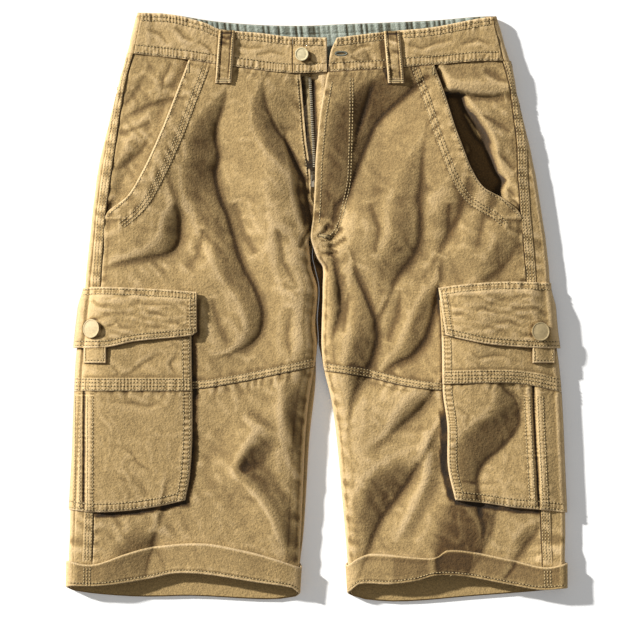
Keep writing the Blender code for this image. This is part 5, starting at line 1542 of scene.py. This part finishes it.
def pickFaces(made, wanted):         # in edit mode, by a face's middle in millimetres and its normal
    bpy.ops.mesh.select_all(action="DESELECT")
    work = bmesh.from_edit_mesh(made.data)
    for face in work.faces:
        face.select_set(wanted(face.calc_center_median() / mm, face.normal))
    bmesh.update_edit_mesh(made.data)


def finish(made, bevel, steps, look, node):
    modifier = made.modifiers.new("edges", "BEVEL")
    modifier.width, modifier.segments = bevel * mm, steps
    modifier.limit_method, modifier.angle_limit = "ANGLE", math.radians(30)
    bpy.ops.object.modifier_apply(modifier="edges")
    bpy.ops.object.transform_apply(location=True, rotation=True, scale=True)
    bpy.ops.object.shade_smooth_by_angle(angle=math.radians(40))
    made.data.materials.clear()
    made.data.materials.append(look)
    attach(made, "garment")
    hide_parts(node)
    built[made.name] = made


# sizes in millimetres; "over" is how far it stands off the cloth under it
waistButton = {"across": 15.5, "high": 3.2, "over": 0.9, "rim": 1.5, "dish": 0.5, "dome": 0.45,
               "look": creamLook}
pocketButton = {"across": 21.4, "high": 3.0, "over": 0.4, "rim": 1.3, "dish": 0.35, "dome": 0.7,
                "look": tanLook}
buttons = {
    "button_waist": {"node": "waist_button", "on": "band_extension", "at": (-17.5, 288.5), **waistButton},
    "button_left": {"node": "pocket_button_left", "on": "flap_left", "at": buttonsAt[left], **pocketButton},
    "button_right": {"node": "pocket_button_right", "on": "flap_right", "at": buttonsAt[right],
                     **pocketButton},
}
for name, button in buttons.items():
    radius, high = button["across"] / 2, button["high"]
    seat, slope = upon(button["on"], *button["at"], 0.7 * radius)
    bpy.ops.object.select_all(action="DESELECT")
    bpy.ops.mesh.primitive_cylinder_add(vertices=64, radius=radius * 0.86 * mm, depth=high * mm,
                                        location=(0, 0, high / 2 * mm))
    made = bpy.context.object
    made.name = name
    bpy.ops.object.transform_apply(location=True, rotation=True, scale=True)
    bpy.ops.object.mode_set(mode="EDIT")
    bpy.ops.mesh.select_mode(type="FACE")
    pickFaces(made, lambda middle, normal: normal.z > 0.9)
    bpy.ops.transform.resize(value=(1.16, 1.16, 1))          # wider at the face than at the back
    bpy.ops.mesh.inset(thickness=button["rim"] * mm)
    bpy.ops.mesh.extrude_region_move(TRANSFORM_OT_translate={"value": (0, 0, -button["dish"] * mm)})
    for share, lift in ((0.3, 0.55), (0.3, 0.3), (0.3, 0.15)):      # a low dome inside the rim
        bpy.ops.mesh.inset(thickness=share * (radius - button["rim"]) * mm)
        bpy.ops.transform.translate(value=(0, 0, lift * button["dome"] * mm))
    bpy.ops.object.mode_set(mode="OBJECT")
    made.rotation_euler = slope.to_track_quat("Z", "Y").to_euler()
    made.location = (button["at"][0] * mm, button["at"][1] * mm, (seat + button["over"]) * mm)
    finish(made, 0.45, 3, button["look"], button["node"])

# the teeth along the left tape, one made and the rest copied from it
tooth = {"wide": 3.2, "high": 1.7, "deep": 1.2, "pitch": 2.15, "first": 262.0, "last": 160.0, "over": 0.7}
bpy.ops.object.select_all(action="DESELECT")
bpy.ops.mesh.primitive_cube_add(size=mm, location=(0, 0, 0))
model = bpy.context.object
model.scale = (tooth["wide"], tooth["deep"], tooth["high"])
bpy.ops.object.transform_apply(location=True, rotation=True, scale=True)
bpy.ops.object.mode_set(mode="EDIT")
bpy.ops.mesh.select_mode(type="FACE")
pickFaces(model, lambda middle, normal: normal.x > 0.9)
bpy.ops.transform.resize(value=(1, 0.62, 0.7))               # the tip is narrower
bpy.ops.mesh.select_all(action="SELECT")
bpy.ops.mesh.bevel(offset=0.22 * mm, segments=2)
bpy.ops.object.mode_set(mode="OBJECT")
copies = []
for y in np.arange(tooth["first"], tooth["last"], -tooth["pitch"]):
    copy = bpy.data.objects.new("tooth", model.data.copy())
    bpy.context.scene.collection.objects.link(copy)
    x = float(along(zipEdge, y)) + tooth["over"]
    copy.location = (x * mm, y * mm, (9.9 + 2.5 * float(smooth((y - 250) / 18))) * mm)
    copies.append(copy)
bpy.data.objects.remove(model)
bpy.ops.object.select_all(action="DESELECT")
for copy in copies:
    copy.select_set(True)
bpy.context.view_layer.objects.active = copies[0]
bpy.ops.object.join()
teeth = bpy.context.object
teeth.name = "zip_teeth"
bpy.ops.object.transform_apply(location=True, rotation=True, scale=True)
bpy.ops.object.shade_smooth_by_angle(angle=math.radians(40))
teeth.data.materials.append(teethLook)
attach(teeth, "garment")
built["zip_teeth"] = teeth
for node, look in (("zip_slider", bronzeLook), ("zip_pull", metalLook)):
    metal = bpy.data.objects[node]
    metal.data.materials.clear()
    metal.data.materials.append(look)
print("buttons and zip ready")


# Stitches: short runs of thread that dip into the cloth, joined into one mesh for each group

threads = {"left": [], "right": [], "band": [], "buttonhole": []}


def beside(line, distance):          # the line moved sideways, + to its left
    line = np.array(line, float)
    way = np.gradient(line, axis=0)
    way /= np.maximum(np.hypot(way[:, 0], way[:, 1]), 1e-6)[:, None]
    return line + distance * np.column_stack([-way[:, 1], way[:, 0]])


def sew(group, name, line, distance=0.0, pitch=3.7, under=None):
    line = beside(line, distance)
    places = np.concatenate([[0], np.cumsum(np.hypot(*np.diff(line, axis=0).T))])
    starts = np.arange(0.6, places[-1] - pitch, pitch)
    rng = np.random.default_rng(len(threads[group]) + int(abs(line).sum()) % 9973)
    starts += rng.uniform(-0.12, 0.12, len(starts)) * pitch
    aside = rng.uniform(-0.12, 0.12, len(starts))
    spots = []
    for reach in (0, 0.45, 0.9):     # a stitch's start, middle and end
        x, y = (np.interp(starts + reach * pitch, places, line[:, k]) + aside for k in (0, 1))
        spots.append(np.column_stack([x, y, topOf(name, x, y)]))
    spots = np.stack(spots, axis=1)
    kept = ~np.isnan(spots).any(axis=(1, 2))
    if under:                        # none where the pocket on that side covers them
        kept &= onPocket(under, spots[:, 1, 0], spots[:, 1, 1]) < 0.5
    threads[group].append(spots[kept])


def tack(group, name, start, end, long):             # close stitches across a short line
    start, end = np.array(start, float), np.array(end, float)
    size = math.dist(start, end)
    across = np.array([-(end - start)[1], (end - start)[0]]) / size * long / 2
    middle = mix(start, end, np.linspace(0, 1, int(size / 0.85) + 1)[:, None])
    spots = np.stack([middle + k * across for k in (-1, 0, 1)], axis=1)
    heights = topOf(name, *spots.reshape(-1, 2).T).reshape(-1, 3, 1)
    spots = np.concatenate([spots, heights], axis=2)
    threads[group].append(spots[~np.isnan(spots).any(axis=(1, 2))])


# along a stitch: place from its middle to its ends, half width, height over the cloth, tone (low at the ends:
# painted shade where it goes into the cloth)
stitchEnd = ((1.22, 0.6, 0.06, 0.0), (0.92, 0.8, 0.1, 0.0), (0.66, 0.55, 0.46, 0.9))
stitchShape = (*((-at, *sizes) for at, *sizes in stitchEnd), (0, 0.6, 0.66, 1.0), *reversed(stitchEnd))


def threadMesh(name, spots, look):
    around = 4                       # points across a stitch
    spots = np.concatenate(spots)
    run = spots[:, 2] - spots[:, 0]
    run /= np.linalg.norm(run, axis=1)[:, None]
    over = np.cross(run, (0, 0, 1))
    over /= np.linalg.norm(over, axis=1)[:, None]
    up = np.cross(over, run)
    turns = np.linspace(0, math.pi, around)
    rings = []
    for place, half, height, _ in stitchShape:
        t = (place / 1.22 + 1) / 2
        middle = mix(mix(spots[:, 0], spots[:, 1], clamp(2 * t)), spots[:, 2], clamp(2 * t - 1))
        sideways = np.cos(turns)[None, :, None] * over[:, None] * half
        lifted = np.sin(turns)[None, :, None] * up[:, None] * height
        rings.append(middle[:, None] + sideways + lifted + 0.07 * up[:, None])
    points = np.stack(rings, axis=1)
    count, rows = len(spots), len(stitchShape)
    base = (np.arange(count) * rows * around)[:, None, None]
    ring, k = np.arange(rows - 1)[None, :, None] * around, np.arange(around)[None, None, :]
    a, b = base + ring + k, base + ring + (k + 1) % around
    faces = np.stack([a, b, b + around, a + around], axis=-1).reshape(-1, 4)
    mesh = bpy.data.meshes.new(name)
    mesh.from_pydata((points.reshape(-1, 3) * mm).tolist(), [], faces.tolist())
    tone = np.repeat(np.tile([row[3] for row in stitchShape], count), around)
    mesh.attributes.new("wearAndShadeTone", "FLOAT", "POINT").data.foreach_set("value", tone.astype(float))
    mesh.shade_smooth()
    made = bpy.data.objects.new(name, mesh)
    bpy.context.scene.collection.objects.link(made)
    made.data.materials.append(look)
    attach(made, "garment")
    built[name] = made


for side, name in sideName.items():
    kneeLine = lineOf(kneeSeam[side], 5)
    mouthLine = lineOf(mouth[side], 4, 104, 282, True)
    seamHigh = lineOf(seam[side], 5, -95, 284, True)
    seamLow = lineOf(seam[side], 5, -290, -97, True)
    for fromKnee, fromSeam in zip(seamRows["knee"], seamRows["side"]):
        sew(name, "upper_front_" + name, kneeLine, fromKnee, under=side)
        for line in (seamHigh, seamLow):
            sew(name, "back_leg_" + name, line, -side * fromSeam, under=side)
    for distance in seamRows["mouth"]:
        sew(name, "upper_front_" + name, mouthLine, side * distance)
    pocketSide = lineOf(pocketInner[side], 5, -221, pocketTop, True)
    bottomLine = lineOf(pocketBottom[side], 5)
    for distance in seamRows["pocket"]:
        for part in ("pocket_above_", "pocket_below_"):
            sew(name, part + name, pocketSide, -side * distance)
        sew(name, "pocket_below_" + name, bottomLine, distance - 0.3)
    for distance in seamRows["pocketBand"]:
        sew(name, "pocket_above_" + name, lineOf(pocketBand[side], 5), distance)
    for distance in seamRows["pleat"]:
        sew(name, "pocket_below_" + name, lineOf(pleat[side], 5, -232, -100, True), distance)
    for distance in seamRows["flap"]:
        sew(name, "flap_" + name, lineOf(flapBottom[side], 5), distance)
        sew(name, "flap_" + name, lineOf(flapInner[side], 5, upright=True), -side * distance)
    for distance in seamRows["flapTop"]:
        sew(name, "flap_" + name, lineOf(flapTop[side], 5), -distance)
    near, far = tabSpan[side]
    sew(name, "tab_" + name, ((near + 2.5, -50), (near + 2.5, -61), (far - 2.5, -61), (far - 2.5, -50)))
    sew(name, "turned_cuff_" + name, lineOf(hemFront[side], 5), 3.6)
    for distance in seamRows["side"]:
        sew(name, "turned_cuff_" + name, lineOf(seam[side], 5, -320, -280, True), -side * distance)
for distance in (0, 3.2):
    sew("right", "upper_front_right", smoothed(flyStitch, 6), distance)
sew("right", "upper_front_right", lineOf(inner[right], 5, 96, 262, True), -7.5)
sew("left", "upper_front_left", lineOf(inner[left], 5, 150, 262, True), 4)
for side, name, low, high in ((left, "band_front_left", -212, -30), (left, "band_extension", -27, 10),
                              (right, "band_front_right", 16, 214)):
    for distance in seamRows["bandTop"]:
        sew("band", name, lineOf(bandTop[side], 5, low, high), -distance)
    for distance in seamRows["bandLow"]:
        sew("band", name, lineOf(waistSeam[side], 5, low, high), distance)
for side, topX, bottomX, bottomY in frontLoops:
    topY = float(along(bandTop[side], topX))
    name, tackY = "loop_front_" + sideName[side], bottomY + 2.5
    for reach in (-7.2, 7.2):
        line = np.linspace((topX + reach, topY - 3), (bottomX + reach, bottomY + 3), 12)
        sew("band", name, line, pitch=2.8)
    tack("band", name, (bottomX - 8, tackY), (bottomX + 8, tackY), 2.6)
tack("left", "upper_front_left", (-147, 268), (-147, 278), 3)
tack("right", "upper_front_right", (133, 266), (134, 276), 3)
tack("right", "upper_front_right", (3, 82), (14, 80), 4)
tack("right", "turned_cuff_right", (153, -307), (154, -308.5), 7)
turns = np.linspace(0, 2 * math.pi, buttonhole["stitches"], endpoint=False)
ring = []
for far in (0, 0.5, 1):
    x = buttonhole["at"][0] + np.cos(turns) * (buttonhole["long"] + far * buttonhole["reach"])
    y = buttonhole["at"][1] + np.sin(turns) * (buttonhole["open"] + far * buttonhole["wide"])
    ring.append(np.column_stack([x, y, topOf("band_front_right", x, y)]))
threads["buttonhole"].append(np.stack(ring, axis=1))
for group, spots in threads.items():
    threadMesh("stitches_" + group, spots, edgingLook if group == "buttonhole" else threadLook)
print("stitches ready", sum(len(spots) for rows in threads.values() for spots in rows))


# Floor, light and camera

bpy.ops.mesh.primitive_plane_add(size=6, location=(0, 0, -0.0004))
floor = bpy.context.object
floor.name = "floor"
floorLook = plainMaterial("pale_floor", (0.94, 0.95, 0.97), 0.9, grain=400, bumpy=0.0)
floorShader = floorLook.node_tree.nodes["Principled BSDF"]       # a lit table: paler shadows
floorShader.inputs["Emission Color"].default_value = (0.94, 0.97, 1.0, 1)
floorShader.inputs["Emission Strength"].default_value = 0.13
floor.data.materials.append(floorLook)
floor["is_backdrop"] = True

studio = {"sky": (1.0, 0.975, 0.94, 1), "skyStrength": 0.32, "sun": (1.0, 0.985, 0.95), "sunStrength": 6.9,
          "sunAcross": 2.5, "elevation": 23, "from": (-0.87, 0.5), "lens": 117.3,
          "cameraAt": (0.0034, -0.0149, 2.4)}
world = bpy.data.worlds.new("studio")
bpy.context.scene.world = world
world.use_nodes = True
world.node_tree.nodes["Background"].inputs["Color"].default_value = studio["sky"]
world.node_tree.nodes["Background"].inputs["Strength"].default_value = studio["skyStrength"]

key = bpy.data.lights.new("key", "SUN")
key.energy, key.color, key.angle = studio["sunStrength"], studio["sun"], math.radians(studio["sunAcross"])
keyObject = bpy.data.objects.new("key", key)
bpy.context.scene.collection.objects.link(keyObject)
elevation = math.radians(studio["elevation"])
fromWay = Vector((*(way * math.cos(elevation) for way in studio["from"]), math.sin(elevation)))
keyObject.rotation_euler = fromWay.to_track_quat("Z", "Y").to_euler()

camera = bpy.data.cameras.new("camera")
camera.lens = studio["lens"]         # on a 36 mm sensor, looking straight down
cameraObject = bpy.data.objects.new("camera", camera)
bpy.context.scene.collection.objects.link(cameraObject)
cameraObject.location = studio["cameraAt"]
bpy.context.scene.camera = cameraObject
bpy.context.scene.view_settings.view_transform = "Standard"

low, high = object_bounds()
added = sum(sum(len(p.vertices) - 2 for p in piece.data.polygons) for piece in built.values())
print("added triangles", added)
